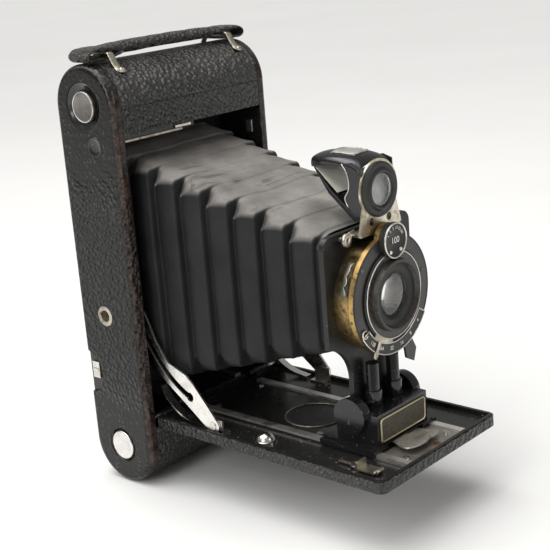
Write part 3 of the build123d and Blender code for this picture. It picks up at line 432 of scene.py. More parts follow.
CAD_FINISHES = (
    (SIDE_LEATHER, "side_leather bed_release_button"),
    (CASE_LEATHER, "body_leather back_leather bed_leather handle_strap"),
    (ENAMEL, "body_casting back_cover release_lever take_up_spool record_door"),
    (INNER_BLACK, "film_gate bellows_rear_frame"),
    (BED_ENAMEL, "bed_tray"),
    (TRACK, "track_plate"),
    (GLOSS_ENAMEL, "foot_casting finder_body support_pillars"),
    (STANDARD_ENAMEL, "standard_frame"),
    (FACE, "shutter_face"),
    (BLACK_STEEL, "shutter_blades pressure_plate"),
    (SATIN, "aperture_scale speed_dial"),
    (BROWN_FLANGE, "lens_mount"),
    (NICKEL, "inner_rails handle_bails back_latch leg_bracket support_leg strut_pivots aperture_pointer"
             " bed_hinge_pin film_roller_upper film_roller_lower"),
    (DULL_NICKEL, "striker_plate side_tripod_socket"),
    (BRIGHT_NICKEL, "spool_pin_upper spool_pin_lower winding_key key_wing stylus bed_fasteners strut_left"
                    " strut_right strut_springs clamp_tab_left clamp_tab_right"),
    (YELLOW_NICKEL, "focus_stop_lever finder_plate"),
    (RAIL, "track_rails"),
    (DRUM_BRASS, "shutter_case"),
    (BRASS, "bed_tripod_socket nameplate"),
    (GLASS, "front_lens rear_lens finder_lenses"),
    (MIRROR, "finder_mirror"),
    (RUBY, "ruby_window"),
    (BELLOWS, "bellows"),
)
for finish, names in CAD_FINISHES:
    for name in names.split():
        slots = NODES[name].data.materials
        slots.clear()
        slots.append(finish)


# ---- making pieces -------------------------------------------------------
def placed(name, data):
    """A new object that is linked into the scene."""
    obj = bpy.data.objects.new(name, data)
    bpy.context.scene.collection.objects.link(obj)
    return obj


def piece(name, verts, faces, finish, body, replaced=(), smooth=True):
    """A mesh from millimetre points in build coordinates, riding on a body."""
    mesh = bpy.data.meshes.new(name)
    mesh.from_pydata([at(*v) for v in verts], [], faces)
    mesh.validate()
    fix = bmesh.new()
    fix.from_mesh(mesh)
    bmesh.ops.recalc_face_normals(fix, faces=fix.faces)
    fix.to_mesh(mesh)
    fix.free()
    for polygon in mesh.polygons:
        polygon.use_smooth = smooth
    mesh.materials.append(finish)
    obj = placed(name, mesh)
    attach(obj, body)
    if replaced:
        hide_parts(*replaced)
    return obj


def grid_faces(rows, columns, closed_rows=False, closed_columns=False):
    """Quads between rows of points, each row with the same number of columns."""
    faces = []
    for i in range(rows if closed_rows else rows - 1):
        for j in range(columns if closed_columns else columns - 1):
            a = i * columns + j
            b = i * columns + (j + 1) % columns
            c = ((i + 1) % rows) * columns + (j + 1) % columns
            d = ((i + 1) % rows) * columns + j
            faces.append((a, b, c, d))
    return faces


def capped_faces(rows, columns):
    """The sides of a bar whose rows are closed loops, with a face on each end."""
    last = (rows - 1) * columns
    ends = [tuple(range(columns)), tuple(range(last, last + columns))]
    return grid_faces(rows, columns, closed_columns=True) + ends


def soften(obj, width=0.25, segments=2):
    """Rounds the sharp edges a little."""
    weld = obj.modifiers.new("weld", "WELD")
    weld.merge_threshold = 1e-6
    bevel = obj.modifiers.new("edges", "BEVEL")
    bevel.width = width / 1000
    bevel.segments = segments
    bevel.limit_method = "ANGLE"
    bevel.angle_limit = math.radians(32)
    bevel.harden_normals = False
    return obj


def thicken(obj, thickness):
    """Gives an open sheet a thickness in millimetres."""
    obj.modifiers.new("thickness", "SOLIDIFY").thickness = thickness / 1000


def subdivide(obj, render_levels=1):
    sub = obj.modifiers.new("smooth", "SUBSURF")
    sub.levels = 1
    sub.render_levels = render_levels


def circle(steps):
    """The cosine and sine of each of the steps round a circle."""
    turns = [2 * math.pi * k / steps for k in range(steps)]
    return [(math.cos(turn), math.sin(turn)) for turn in turns]


def spoke(centre_z, radius, degrees):
    """The (x, z) of a point on a circle round a centre at x = 0."""
    turn = math.radians(degrees)
    return radius * math.cos(turn), centre_z + radius * math.sin(turn)


def turned(name, profile, place, finish, body, steps, replaced, closed):
    """A ring or disc from (radius, level) points; place puts a point into build coordinates."""
    verts = [place(radius * c, radius * s, level) for c, s in circle(steps) for radius, level in profile]
    faces = grid_faces(steps, len(profile), closed_rows=True, closed_columns=closed)
    return piece(name, verts, faces, finish, body, replaced)


def lathe(name, profile, x, z, finish, body, slot, steps=72, replaced=(), closed=True):
    """Turned about the lens direction from (radius, y) points."""
    return turned(name, profile, lambda a, b, y: (x + a, y, z + b), finish, body,
                  steps, replaced, closed)


def lathe_x(name, profile, y, z, finish, body, replaced=(), steps=64, closed=False):
    """Turned about the X direction from (radius, x) points."""
    return turned(name, profile, lambda a, b, x: (x, y + a, z + b), finish, body,
                  steps, replaced, closed)


def lathe_z(name, profile, x, y, finish, body, replaced=(), steps=64, closed=False):
    """Turned about the Z direction from (radius, z) points."""
    return turned(name, profile, lambda a, b, z: (x + a, y + b, z), finish, body,
                  steps, replaced, closed)


def tube(name, path, radius, finish, body, closed=False, sides=10, up=(0, 1, 0)):
    """A round bar along points; up is a direction that the path never runs along for long."""
    points = [Vector(p) for p in path]
    count = len(points)
    verts = []
    for k, point in enumerate(points):
        before = points[k - 1] if (k or closed) else point
        after = points[(k + 1) % count] if (k < count - 1 or closed) else point
        along = (after - before).normalized()
        side = along.cross(Vector(up))
        side = side.normalized() if side.length > 1e-4 else Vector((1, 0, 0))
        over = side.cross(along).normalized()
        verts += [tuple(point + radius * (c * side + s * over)) for c, s in circle(sides)]
    faces = grid_faces(count, sides, True, True) if closed else capped_faces(count, sides)
    return piece(name, verts, faces, finish, body)


def prism(name, front, back, finish, body, replaced=()):
    """A flat-sided solid between two outlines that have the same number of points."""
    count = len(front)
    faces = [tuple(range(count)), tuple(range(2 * count - 1, count - 1, -1))]
    faces += [(k, (k + 1) % count, count + (k + 1) % count, count + k) for k in range(count)]
    return piece(name, front + back, faces, finish, body, replaced, smooth=False)


def plate(name, outline, y_front, y_back, finish, body, replaced=(), round_mm=0.2):
    """A flat plate facing the lens direction, from an (x, z) outline."""
    front, back = [[(x, y, z) for x, z in outline] for y in (y_front, y_back)]
    return soften(prism(name, front, back, finish, body, replaced), round_mm)


def box(name, xs, ys, zs, finish, body, replaced=(), round_mm=0.25):
    """A box between two x, two y and two z."""
    verts = [(x, y, z) for x in xs for y in ys for z in zs]
    faces = [(0, 1, 3, 2), (4, 6, 7, 5), (0, 4, 5, 1), (2, 3, 7, 6), (0, 2, 6, 4), (1, 5, 7, 3)]
    return soften(piece(name, verts, faces, finish, body, replaced, smooth=False), round_mm)


def arc(cx, cz, radius, start, end, steps=24):
    """(x, z) points along an arc, in degrees."""
    turns = [math.radians(start + (end - start) * k / (steps - 1)) for k in range(steps)]
    return [(cx + radius * math.cos(t), cz + radius * math.sin(t)) for t in turns]


def ring_points(z, radius, y, steps=96):
    """Points round a circle that faces the lens direction, centred at x = 0."""
    return [(radius * c, y, z + radius * s) for c, s in circle(steps)]


def smooth_path(points, steps):
    """Points along a soft curve through the given ones."""
    out = []
    count = len(points)
    for k in range(count - 1):
        p0, p1 = Vector(points[max(k - 1, 0)]), Vector(points[k])
        p2, p3 = Vector(points[k + 1]), Vector(points[min(k + 2, count - 1)])
        for j in range(steps):
            t = j / steps
            square = (2 * p0 - 5 * p1 + 4 * p2 - p3) * t * t
            cube = (3 * p1 - p0 - 3 * p2 + p3) * t ** 3
            out.append(tuple(0.5 * ((2 * p1) + (p2 - p0) * t + square + cube)))
    out.append(tuple(points[-1]))
    return out


def heading(points, i):
    """The direction of a path at one of its points."""
    before, after = Vector(points[max(i - 1, 0)]), Vector(points[min(i + 1, len(points) - 1)])
    return (after - before).normalized()


def numeral(name, text, place, height, turn, finish, body):
    """A raised number that faces along -Y."""
    curve = bpy.data.curves.new(name, "FONT")
    curve.body = text
    curve.size = height / 1000
    curve.extrude = 0.00006
    curve.align_x = "CENTER"
    curve.align_y = "CENTER"
    obj = placed(name, curve)
    spin = Matrix.Rotation(math.radians(turn), 4, "Y") @ Matrix.Rotation(math.radians(90), 4, "X")
    bpy.context.view_layer.update()
    mesh = bpy.data.meshes.new_from_object(obj.evaluated_get(bpy.context.evaluated_depsgraph_get()))
    bpy.data.objects.remove(obj)
    mesh.transform(Matrix.Translation(at(*place)) @ spin)
    mesh.materials.clear()
    mesh.materials.append(finish)
    made = placed(name, mesh)
    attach(made, body)


def screw(name, seat, out, radius, finish, body):
    """A low domed screw head with a slot, standing on a point and facing out."""
    across = out.orthogonal().normalized()
    over = out.cross(across)
    steps = 20
    section = ((1.0, -0.3), (1.0, 0.15), (0.85, 0.38), (0.45, 0.5), (0.12, 0.5))
    verts = []
    for c, s in circle(steps):
        ray = c * across + s * over
        for r, h in section:
            groove = 0.28 if abs(s) < 0.22 and r < 0.95 and h > 0 else 0.0
            verts.append(tuple(seat + ray * radius * r + out * radius * (h - groove)))
    faces = grid_faces(steps, len(section), closed_rows=True)
    faces += [tuple(len(section) * k + end for k in range(steps)) for end in (len(section) - 1, 0)]
    return piece(name, verts, faces, finish, body)


# ---- bellows -------------------------------------------------------------
FOLDS = 8
COLLAR = 2.0
BELLOWS_BACK, BELLOWS_FRONT = 9.1, -126.0
BELLOWS_LENGTH = BELLOWS_BACK - BELLOWS_FRONT
# Half width, top and bottom of the bellows, each at the back and at the front.
HALF_WIDTHS, TOPS, BOTTOMS = (42.6, 33.0), (179.0, 144.5), (46.5, 86.5)
# Points along one fold: a share of its length, and 0 in the groove to 1 on the panel.
FOLD_SHAPE = ((0.0, 0.0), (0.05, 0.06), (0.14, 0.42), (0.30, 0.76), (0.48, 0.93),
              (0.66, 1.0), (0.86, 1.04), (0.945, 1.03), (0.975, 0.80))
SIDE_POINTS, ROOF_POINTS = 9, 11


def between(ends, share):
    return ends[0] + (ends[1] - ends[0]) * share


def mirrored(points):
    return [(-x, y, z) for x, y, z in points]


def bellows_section(y, crest, step, wobble):
    """One ring of the bellows. crest is 1 on a panel and 0 in a groove; step is the stepped taper."""
    t = (BELLOWS_BACK - y) / BELLOWS_LENGTH
    s = (BELLOWS_BACK - step) / BELLOWS_LENGTH
    sunk = 1 - crest
    half = between(HALF_WIDTHS, t) - 3.4 * sunk
    top, low = between(TOPS, t), between(BOTTOMS, t)
    shoulder = between(TOPS, s) - 6.6 - 2.2 * sunk
    ankle = between(BOTTOMS, s) + 6.6 + 2.2 * sunk
    inset = half - 5.6 + 0.8 * sunk
    walls = []
    for side, near, seed in ((-1, 0, 3.1), (1, 9, 5.3)):
        wall = []
        for k in range(SIDE_POINTS):
            share = k / (SIDE_POINTS - 1)
            z = ankle + (shoulder - ankle) * share
            puff = 0.5 * math.sin(math.pi * share) * crest
            wall.append((side * (half + puff) + 0.3 * ripple(near, y, z, 26, seed) * wobble, y, z))
        walls.append(wall)
    corner = [(-half + 0.1, y, shoulder + 0.7), (-half + 1.5, y, shoulder + 2.9 * crest + 0.9),
              (-inset - 0.6, y, top - 1.7 - 1.0 * sunk), (-inset + 0.6, y, top - 0.7 - 1.0 * sunk)]
    foot = [(x, y, ankle - (z - shoulder) if z < top - 3 else low + (top - z)) for x, y, z in corner]
    roof, floor = [], []
    for k in range(ROOF_POINTS):
        share = (k + 1) / (ROOF_POINTS + 1)
        x = -inset + 2 * inset * share
        sag = 1.4 * math.sin(math.pi * share) * (1 - abs(2 * t - 1)) + 0.5 * sunk
        roof.append((x, y, top - 0.3 - sag + 0.8 * ripple(x, y, 0, 15, 1.7) * wobble))
        floor.append((-x, y, low + 0.3 + 0.7 * sunk + 0.3 * ripple(-x, y, 9, 17, 2.9) * wobble))
    upper = walls[0] + corner + roof + mirrored(corner[::-1]) + walls[1][::-1]
    return upper + mirrored(foot) + floor + foot[::-1]


def make_bellows():
    """Eight folds, each a flat panel that ends in a narrow groove and steps down in height."""
    pitch = (BELLOWS_LENGTH - 2 * COLLAR) / FOLDS
    rings = [bellows_section(BELLOWS_BACK, 1.0, BELLOWS_BACK, 0.0)]
    for fold in range(FOLDS):
        start = BELLOWS_BACK - COLLAR - fold * pitch
        level = start - 0.5 * pitch
        rings += [bellows_section(start - share * pitch, crest, level, 1.0) for share, crest in FOLD_SHAPE]
    last = BELLOWS_BACK - COLLAR - FOLDS * pitch
    rings.append(bellows_section(last, 0.25, last, 0.0))
    rings.append(bellows_section(BELLOWS_FRONT, 0.6, BELLOWS_FRONT, 0.0))
    verts = [p for ring in rings for p in ring]
    obj = piece("bellows_folds", verts, grid_faces(len(rings), len(rings[0]), closed_columns=True),
                BELLOWS, "case", ("bellows",))
    thicken(obj, 0.6)
    subdivide(obj)
    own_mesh(obj)


# ---- lens and shutter ----------------------------------------------------
def curved_strip(name, radius, start, end, low, high, finish):
    """A strip round the shutter's drum, between two angles and two y."""
    steps = 14
    corners = ((radius, low), (radius, high), (radius - 0.4, high), (radius - 0.4, low))
    verts = []
    for k in range(steps):
        for r, y in corners:
            x, z = spoke(LENS_Z, r, start + (end - start) * k / (steps - 1))
            verts.append((x, y, z))
    piece(name, verts, capped_faces(steps, len(corners)), finish, "standard")


def make_torn_leaf():
    """A ragged strip of grey leaf that lifts off the left of the drum."""
    columns, rows = 13, (0.0, 0.35, 0.7, 1.0)
    verts = []
    for k in range(columns):
        torn = 1.1 * abs(math.sin(2.3 * k)) + (0.9 if k in (4, 5, 9) else 0)
        lift = 0.25 + 0.5 * ease(4, 9, k) * (1 - ease(10, 12, k))
        for share in rows:
            x, z = spoke(LENS_Z, 28.1 + lift * share, 136 + 2.7 * k)
            verts.append((x, -133.6 - share * (3.3 - torn), z))
    thicken(piece("torn_leaf", verts, grid_faces(columns, len(rows)), LEAF_GREY, "standard"), 0.3)


def make_shutter():
    """The rims, cone, drum slots, iris and screws of the shutter, and the torn leaf on its drum."""
    for name, radius, y, bar, finish, slot in (("mount_rim", 20.9, -143.35, 0.32, NICKEL, "nickel"),
                                               ("hood_rim", 16.4, -146.15, 0.24, BROWN_FLANGE, "nickel"),
                                               ("face_rim", 28.75, -141.8, 0.45, SATIN, "black_enamel")):
        tube(name, ring_points(LENS_Z, radius, y), bar, finish, "standard", closed=True)
    cone = [(16.0, -145.9), (13.4, -143.6), (12.6, -143.9), (11.9, -143.5), (10.2, -143.0),
            (9.9, -142.2), (9.9, -141.6), (13.0, -142.5)]
    lathe("inner_cone", cone, 0, LENS_Z, CONE_BLACK, "standard", "black_enamel")
    lip = [(28.0, -139.2), (28.35, -139.0), (28.35, -138.2), (28.0, -138.0)]
    lathe("drum_lip", lip, 0, LENS_Z, DRUM_BRASS, "standard", "brass")
    curved_strip("drum_slot_0", 28.08, 139, 147, -138.6, -137.6, CONE_BLACK)
    curved_strip("drum_slot_1", 28.08, 150, 169, -138.4, -137.0, CONE_BLACK)
    knob = [(0.02, -134.35), (1.8, -134.3), (2.7, -134.15), (3.1, -133.7), (3.1, -132.4), (0.02, -132.4)]
    lathe("plate_knob", knob, -20.5, 140.5, NICKEL, "standard", "nickel", 32)
    arm = [(-14.8, 141.8), (-15.4, 144.6), (-19.0, 144.2), (-22.4, 143.2), (-24.0, 141.2),
           (-23.0, 139.4), (-20.5, 140.5), (-17.5, 141.8)]
    plate("knob_arm", arm, -134.2, -133.6, YELLOW_NICKEL, "standard", (), 0.15)
    for name, radius, y, bar, finish in (("iris_ring", 7.4, -131.0, 0.4, BRIGHT_NICKEL),
                                         ("iris_step", 5.3, -131.2, 0.55, BLACK_STEEL)):
        tube(name, ring_points(LENS_Z, radius, y, 64), bar, finish, "standard", closed=True, sides=8)
    for k in range(5):
        turn = 72 * k + 20
        outline = arc(0, LENS_Z, 2.2, turn + 40, turn + 41, 2) + arc(0, LENS_Z, 7.6, turn + 56, turn, 3)
        front = -131.95 - 0.12 * k
        plate(f"iris_leaf_{k}", outline, front, front + 0.08, BLACK_STEEL, "standard", (), 0.02)
    make_torn_leaf()
    head = [(0.01, -142.5), (0.9, -142.45), (1.15, -142.2), (1.15, -141.9), (0.01, -141.9)]
    for k, (x, z) in enumerate(((-21.5, 127.3), (24.8, 116.0), (23.0, 95.0))):
        lathe(f"face_screw_{k}", head, x, z, BLACK_STEEL, "standard", "steel", 20)


def make_release_lever():
    """The shutter lever: a flat black flag that stands out under the drum's right side."""
    outline = [(12.2, 87.0), (14.6, 90.2), (17.4, 86.4), (22.9, 76.3), (20.7, 69.9), (14.6, 73.2),
               (13.4, 80.0)]
    plate("release_flag", outline, -138.0, -136.7, ENAMEL, "shutter_lever",
          ("release_lever",), 0.25)


def make_scale():
    """The aperture crescent: dark, bordered in nickel, curled at its left end, with numbers."""
    start, end, wide, narrow = 212.0, 328.0, 28.6, 23.3
    outline = arc(0, LENS_Z, wide, start, end, 40) + arc(0, LENS_Z, narrow, end, start, 40)
    plate("scale_field", outline, -142.55, -142.05, SATIN, "standard",
          ("aperture_scale",), 0.08)
    edge = [(x, -142.6, z) for x, z in outline]
    tube("scale_border", edge, 0.33, NICKEL, "standard", closed=True)
    curl = [(x, -142.7, z) for x, z in arc(-22.6, LENS_Z - 13.3, 1.9, 60, 330, 20)]
    tube("scale_curl", curl, 0.42, YELLOW_NICKEL, "standard")
    for k, text in enumerate(("128", "64", "32", "16", "8", "4")):
        turn = 228 + k * 17.5
        x, z = spoke(LENS_Z, 25.9, turn)
        numeral(f"stop_number_{text}", text, (x, -142.65, z), 2.7, 270 - turn, NICKEL, "standard")


def make_pointer():
    """The ring round the mount and the arm that sweeps the crescent."""
    ring = [(20.95, -142.6), (20.95, -143.1), (21.9, -143.15), (22.2, -142.9), (22.2, -142.6)]
    lathe("pointer_ring", ring, 0, LENS_Z, SATIN, "pointer", "nickel", replaced=("aperture_pointer",))
    root = arc(0, LENS_Z, 23.2, 225, 262) + arc(0, LENS_Z, 21.0, 262, 225)
    plate("pointer_root", root, -143.35, -142.75, DULL_NICKEL, "pointer", (), 0.12)
    lean = math.radians(270 - 32)
    out = Vector((math.cos(lean), math.sin(lean)))
    side = Vector((-out.y, out.x))
    half = [(21.4, -1.9), (23.5, -1.1), (27.5, -0.9), (29.3, -1.5), (31.4, -1.1)]
    shape = half + [(31.9, 0)] + [(along, -across) for along, across in reversed(half)]
    spots = [out * along + side * across for along, across in shape]
    outline = [(spot.x, LENS_Z + spot.y) for spot in spots]
    plate("pointer_arm", outline, -143.3, -142.75, DULL_NICKEL, "pointer", (), 0.12)


def make_dial():
    """The speed dial: a nickel-edged disc with plain numbers and two small screws."""
    disc = [(0.01, -145.3), (7.3, -145.3), (7.7, -145.75), (8.3, -145.75), (8.5, -145.4), (8.5, -143.7),
            (8.2, -143.4), (0.01, -143.4)]
    lathe("dial_disc", disc, 0, DIAL_Z, SATIN, "dial", "black_enamel", replaced=("speed_dial",), closed=False)
    tube("dial_rim", ring_points(DIAL_Z, 8.15, -145.65), 0.45, NICKEL, "dial", closed=True)
    for k, text in enumerate(("1", "2", "5", "10", "25", "50")):
        turn = 150 - k * 24
        x, z = spoke(DIAL_Z, 6.0, turn)
        numeral(f"speed_number_{text}", text, (x, -145.42, z), 2.1, 90 - turn, NICKEL, "dial")
    numeral("speed_number_middle", "100", (0, -145.42, DIAL_Z), 4.2, 0, NICKEL, "dial")
    head = [(0.01, -145.95), (0.75, -145.9), (1.0, -145.6), (1.0, -145.25), (0.01, -145.25)]
    for k, turn in enumerate((232, 308)):
        lathe(f"dial_screw_{k}", head, *spoke(DIAL_Z, 6.3, turn), BRIGHT_NICKEL, "dial", "nickel", 20)


# ---- finder --------------------------------------------------------------
# Across sections of the finder's roof, from the front ring to the rounded tip:
# y, half width, and the heights of the roof's edge, its crown and the skirt.
HOOD_ROWS = ((-136.6, 12.6, 171.7, 173.9, 168.6), (-133.0, 12.5, 173.8, 176.0, 170.5),
             (-128.0, 12.3, 175.0, 177.4, 172.0), (-122.0, 11.9, 175.6, 178.0, 172.6),
             (-116.0, 11.2, 175.6, 177.8, 172.2), (-110.0, 10.0, 175.2, 177.2, 171.2),
             (-106.0, 8.7, 174.6, 176.3, 170.3), (-103.4, 7.0, 173.9, 175.2, 169.8),
             (-101.8, 4.6, 173.2, 174.1, 169.8), (-101.2, 2.0, 172.8, 173.4, 170.0))


def roof_height(x, y):
    """The height of the hood's crown over a point of its plan."""
    for row, following in zip(HOOD_ROWS, HOOD_ROWS[1:]):
        if row[0] <= y <= following[0]:
            t = (y - row[0]) / (following[0] - row[0])
            half, edge, crown = [between(ends, t) for ends in list(zip(row, following))[1:4]]
            return crown - (crown - edge) * (x / half) ** 2
    return HOOD_ROWS[-1][3]


def roof_window(verts, face):
    """True for the faces of the roof that the window takes the place of."""
    x, y = [sum(verts[i][axis] for i in face) / 4 for axis in (0, 1)]
    return abs(x) < 5.9 and -129.0 < y < -115.0


def make_hood():
    """The bent glossy hood, with its roof window and the window's rim."""
    columns, corner = 23, 0.8
    verts = []
    for y, half, edge, crown, skirt in HOOD_ROWS:
        for k in range(columns):
            share = -1 + 2 * k / (columns - 1)
            if abs(share) > corner:
                fall = (abs(share) - corner) / 0.2
                verts.append((math.copysign(half, share), y, edge - 0.9 - (edge - 0.9 - skirt) * fall))
            else:
                across = share / corner
                round_off = 1 - math.sqrt(max(0.0, 1 - across ** 6))
                z = crown - (crown - edge) * across * across - 0.9 * round_off
                verts.append((half * across * (1 - 0.02 * round_off), y, z))
    faces = [f for f in grid_faces(len(HOOD_ROWS), columns) if not roof_window(verts, f)]
    hood = piece("finder_hood", verts, faces, GLOSS_ENAMEL, "finder", ("finder_body",))
    thicken(hood, 0.8)
    subdivide(hood, 2)
    rim = []
    for c, s in circle(48):
        x, y = 6.3 * signed_power(c, 0.45), -122.0 + 7.2 * signed_power(s, 0.45)
        rim.append((x, y, roof_height(x, y) + 0.15))
    tube("roof_window_rim", rim, 0.32, DULL_NICKEL, "finder", closed=True, sides=8, up=(0, 0, 1))
    # The roof window is an opaque pale grey sheet: a painted reflection in place of the clear lens.
    plan = [(-6.2 + 12.4 * i / 8, -129.0 + 14.0 * j / 8) for i in range(9) for j in range(9)]
    glass = [(x, y, roof_height(x, y) + 0.1) for x, y in plan]
    piece("roof_window_glass", glass, grid_faces(9, 9), PAINTED_ROOF_REFLECTION, "finder")


def make_cheeks():
    """The hood's two sides, each with a plated edge."""
    edge = [(-126.0, 173.6), (-128.4, 170.2), (-129.6, 165.3), (-129.0, 161.2), (-126.9, 157.6),
            (-128.6, 153.6), (-131.8, 150.0), (-133.2, 147.2)]
    outline = [(-137.0, 147.4), (-137.2, 160.0), (-137.0, 173.0), (-132.0, 174.6)] + edge
    for side, hand in ((-1, "left"), (1, "right")):
        outer, inner = [[(side * x, y, z) for y, z in outline] for x in (12.2, 11.4)]
        soften(prism(f"finder_cheek_{hand}", outer, inner, GLOSS_ENAMEL, "finder"))
        rim = smooth_path([(side * 11.9, y, z) for y, z in edge[:6]], 5)
        tube(f"finder_cheek_edge_{hand}", rim, 0.42, NICKEL, "finder", sides=8)


def make_finder():
    """The hood and cheeks, the sloping wall, the two sheets inside and the stepped front ring. Both sheets
    are painted reflection: a pale card in the mirror's place and a near-white glint sheet behind the front
    lens.
    """
    make_hood()
    make_cheeks()
    wall = ((5.0, -102.2, 170.6), (5.0, -102.8, 172.4), (8.2, -105.5, 170.6), (11.4, -118.0, 160.6),
            (12.0, -132.5, 149.4), (12.0, -137.0, 148.6), (12.0, -137.0, 147.0), (12.0, -131.4, 147.0),
            (11.4, -117.4, 158.9))
    sloping = prism("finder_sloping_wall", mirrored(wall), list(wall), GLOSS_ENAMEL, "finder")
    soften(sloping, 0.45, 3)
    # A pale card in the mirror's place: its cream colour is a painted reflection of the bright mirror.
    card = [(-8.6, -107.4, 170.2), (8.6, -107.4, 170.2), (10.1, -121.0, 159.4), (-10.1, -121.0, 159.4)]
    raised = [(x, y + 0.35, z + 0.4) for x, y, z in card]
    prism("finder_inner_card", raised, card, PAINTED_MIRROR_REFLECTION, "finder", ("finder_mirror",))
    # A near-white sheet behind the front lens, sloped like a mirror: its colour is a painted reflection
    # (glint).
    glare = [(-9.4, -136.2, 151.0), (9.4, -136.2, 151.0), (9.4, -129.5, 169.8), (-9.4, -129.5, 169.8)]
    behind = [(x, y + 0.5, z) for x, y, z in glare]
    prism("finder_front_glint_sheet", glare, behind, PAINTED_GLINT, "finder")
    ring = [(7.5, -137.2), (7.5, -138.6), (8.0, -139.6), (8.9, -139.9), (9.5, -139.5), (9.9, -138.9),
            (10.6, -138.7), (11.8, -139.0), (12.6, -138.8), (12.95, -138.2), (12.95, -137.7), (9.6, -137.5)]
    lathe("finder_ring", ring, 0, FINDER_Z, SATIN, "finder", "black_enamel")
    wall = [(7.6, -137.4), (11.2, -136.9), (11.2, -136.5), (7.6, -136.5)]
    lathe("finder_inner_wall", wall, 0, FINDER_Z, GLOSS_ENAMEL, "finder", "black_enamel")


# ---- handle --------------------------------------------------------------
def make_loop(name, path):
    """One end of the strap, curled back along (x, z) points in the camera's middle plane."""
    half, thick, around = 7.5, 1.0, 20
    points = smooth_path([(x, 0.0, z) for x, z in path], 6)
    count = len(points)
    verts = []
    for i, (x, _, z) in enumerate(points):
        along = heading(points, i)
        out = Vector((-along.z, 0, along.x))
        share = i / (count - 1)
        taper = math.sqrt(clamp(min(share, 1 - share) * (count - 1) / 2.5, 0.06, 1))
        for c, s in circle(around):
            y = half * (0.85 + 0.15 * taper) * signed_power(c, 0.5)
            lift = thick * taper * signed_power(s, 0.75)
            lift += 0.3 * (ripple(x * 1.6, y * 0.5, z, 3.0, 4.4) + 0.8 * ripple(x, y, z, 8, 7.7))
            verts.append(tuple(Vector((x, y, z)) + out * lift))
    subdivide(piece(name, verts, capped_faces(count, around), HANDLE_LEATHER, "case"))


def make_handle():
    """A rolled strap whose ends curl down and back under, with a gap for the bail's bar."""
    stations, around = 60, 28
    verts = []
    for i in range(stations):
        t = i / (stations - 1)
        x = -47.0 + 96.0 * t
        ends = 1 - ease(0, 17, min(x + 47.0, 49.0 - x))
        half = 5.6 + 1.9 * ends + 0.3 * ripple(x, 0, 0, 17, 2.2)
        thick = 3.0 - 1.9 * ends
        middle = 226.9 + 0.55 * math.sin(math.pi * t) + 1.0 * ends
        for c, s in circle(around):
            y = half * signed_power(c, 0.7)
            z = thick * signed_power(s, 0.85)
            crease = 0.30 * ripple(x, y * 1.5, z, 8, 4.4) + 0.20 * ripple(x, y * 2, z, 3.0, 7.7)
            groove = -0.45 * ease(0.15, 0.5, ripple(x * 0.35, y * 2.6, 0, 7, 1.3))
            verts.append((x, y, middle + z + (crease + groove) * (0.9 if s > 0 else 0.4)))
    subdivide(piece("carrying_strap", verts, capped_faces(stations, around), HANDLE_LEATHER, "case",
                    ("handle_strap",)))
    make_loop("strap_loop_left", [(-38.0, 228.3), (-46.0, 228.4), (-50.6, 228.1), (-53.4, 226.8),
                                  (-54.0, 225.2), (-52.8, 223.8), (-49.0, 223.3), (-43.0, 223.5),
                                  (-36.5, 224.4), (-30.0, 225.6)])
    make_loop("strap_loop_right", [(40.0, 228.3), (48.0, 228.4), (52.6, 228.1), (55.3, 226.8),
                                   (56.0, 225.2), (54.8, 223.8), (51.0, 223.3), (45.0, 223.6),
                                   (38.5, 224.4), (32.0, 225.6)])


TOP_CENTRE_Z, TOP_RADIUS = 200.5, 21.5


def on_top(x, side, height, degrees):
    """A point over the case's round top, leaning from upright towards the front or the rear."""
    lean = math.radians(degrees)
    reach = TOP_RADIUS + height
    return Vector((x, side * reach * math.sin(lean), TOP_CENTRE_Z + reach * math.cos(lean)))


def make_bail_tab(end, x, side):
    """A flat plated tab from the bar down to a screwed foot on the round top."""
    path = [(0.0, 5.2, 226.4), (0.0, 7.6, 226.0), (0.0, 9.3, 223.8), (0.0, 10.7, 221.4), (0.0, 12.0, 219.6)]
    path += [on_top(0.0, 1, 0.55, 33.0 + 2.6 * k) for k in range(5)]
    section = ((-1, 0.6), (-0.9, 1), (0.9, 1), (1, 0.6), (1, -0.6), (0.9, -1), (-0.9, -1), (-1, -0.6))
    points = smooth_path(path, 3)
    count = len(points)
    verts = []
    for i, (_, y, z) in enumerate(points):
        share = i / (count - 1)
        wide = 1.9 + 0.9 * ease(0.45, 0.75, share)
        wide *= math.sqrt(clamp((1 - share) / 0.16, 0.05, 1)) if share > 0.84 else 1
        along = heading(points, i)
        out = Vector((0, -along.z, along.y)) * -0.42
        drift = 1.6 * ease(0.3, 1.0, share)
        for across, lift in section:
            spot = Vector((x + drift + across * wide, y, z)) + out * lift
            verts.append((spot.x, side * spot.y, spot.z))
    hand = "front" if side < 0 else "rear"
    replaced = ("handle_bails",) if (end, hand) == ("left", "front") else ()
    piece(f"bail_tab_{end}_{hand}", verts, capped_faces(count, len(section)), YELLOW_NICKEL, "case",
          replaced)
    seat = on_top(x + 1.6, side, 0.9, 39.5)
    lean = math.radians(39.5)
    out = Vector((0, side * math.sin(lean), math.cos(lean)))
    screw(f"bail_screw_{end}_{hand}", seat, out, 1.5, DULL_NICKEL, "case")


def make_bails():
    """The two bars that the strap's loops go round, each with a tab in front and behind."""
    for end, x in (("left", -41.0), ("right", 43.0)):
        bar = [(x, y, 225.9) for y in (-6.4, -3.0, 0.0, 3.0, 6.4)]
        tube(f"bail_bar_{end}", bar, 0.9, DULL_NICKEL, "case")
        for side in (-1, 1):
            make_bail_tab(end, x, side)


# ---- case trim, knobs and bed --------------------------------------------
UPPER_PIN_Z, LOWER_PIN_Z = 201.2, 20.8


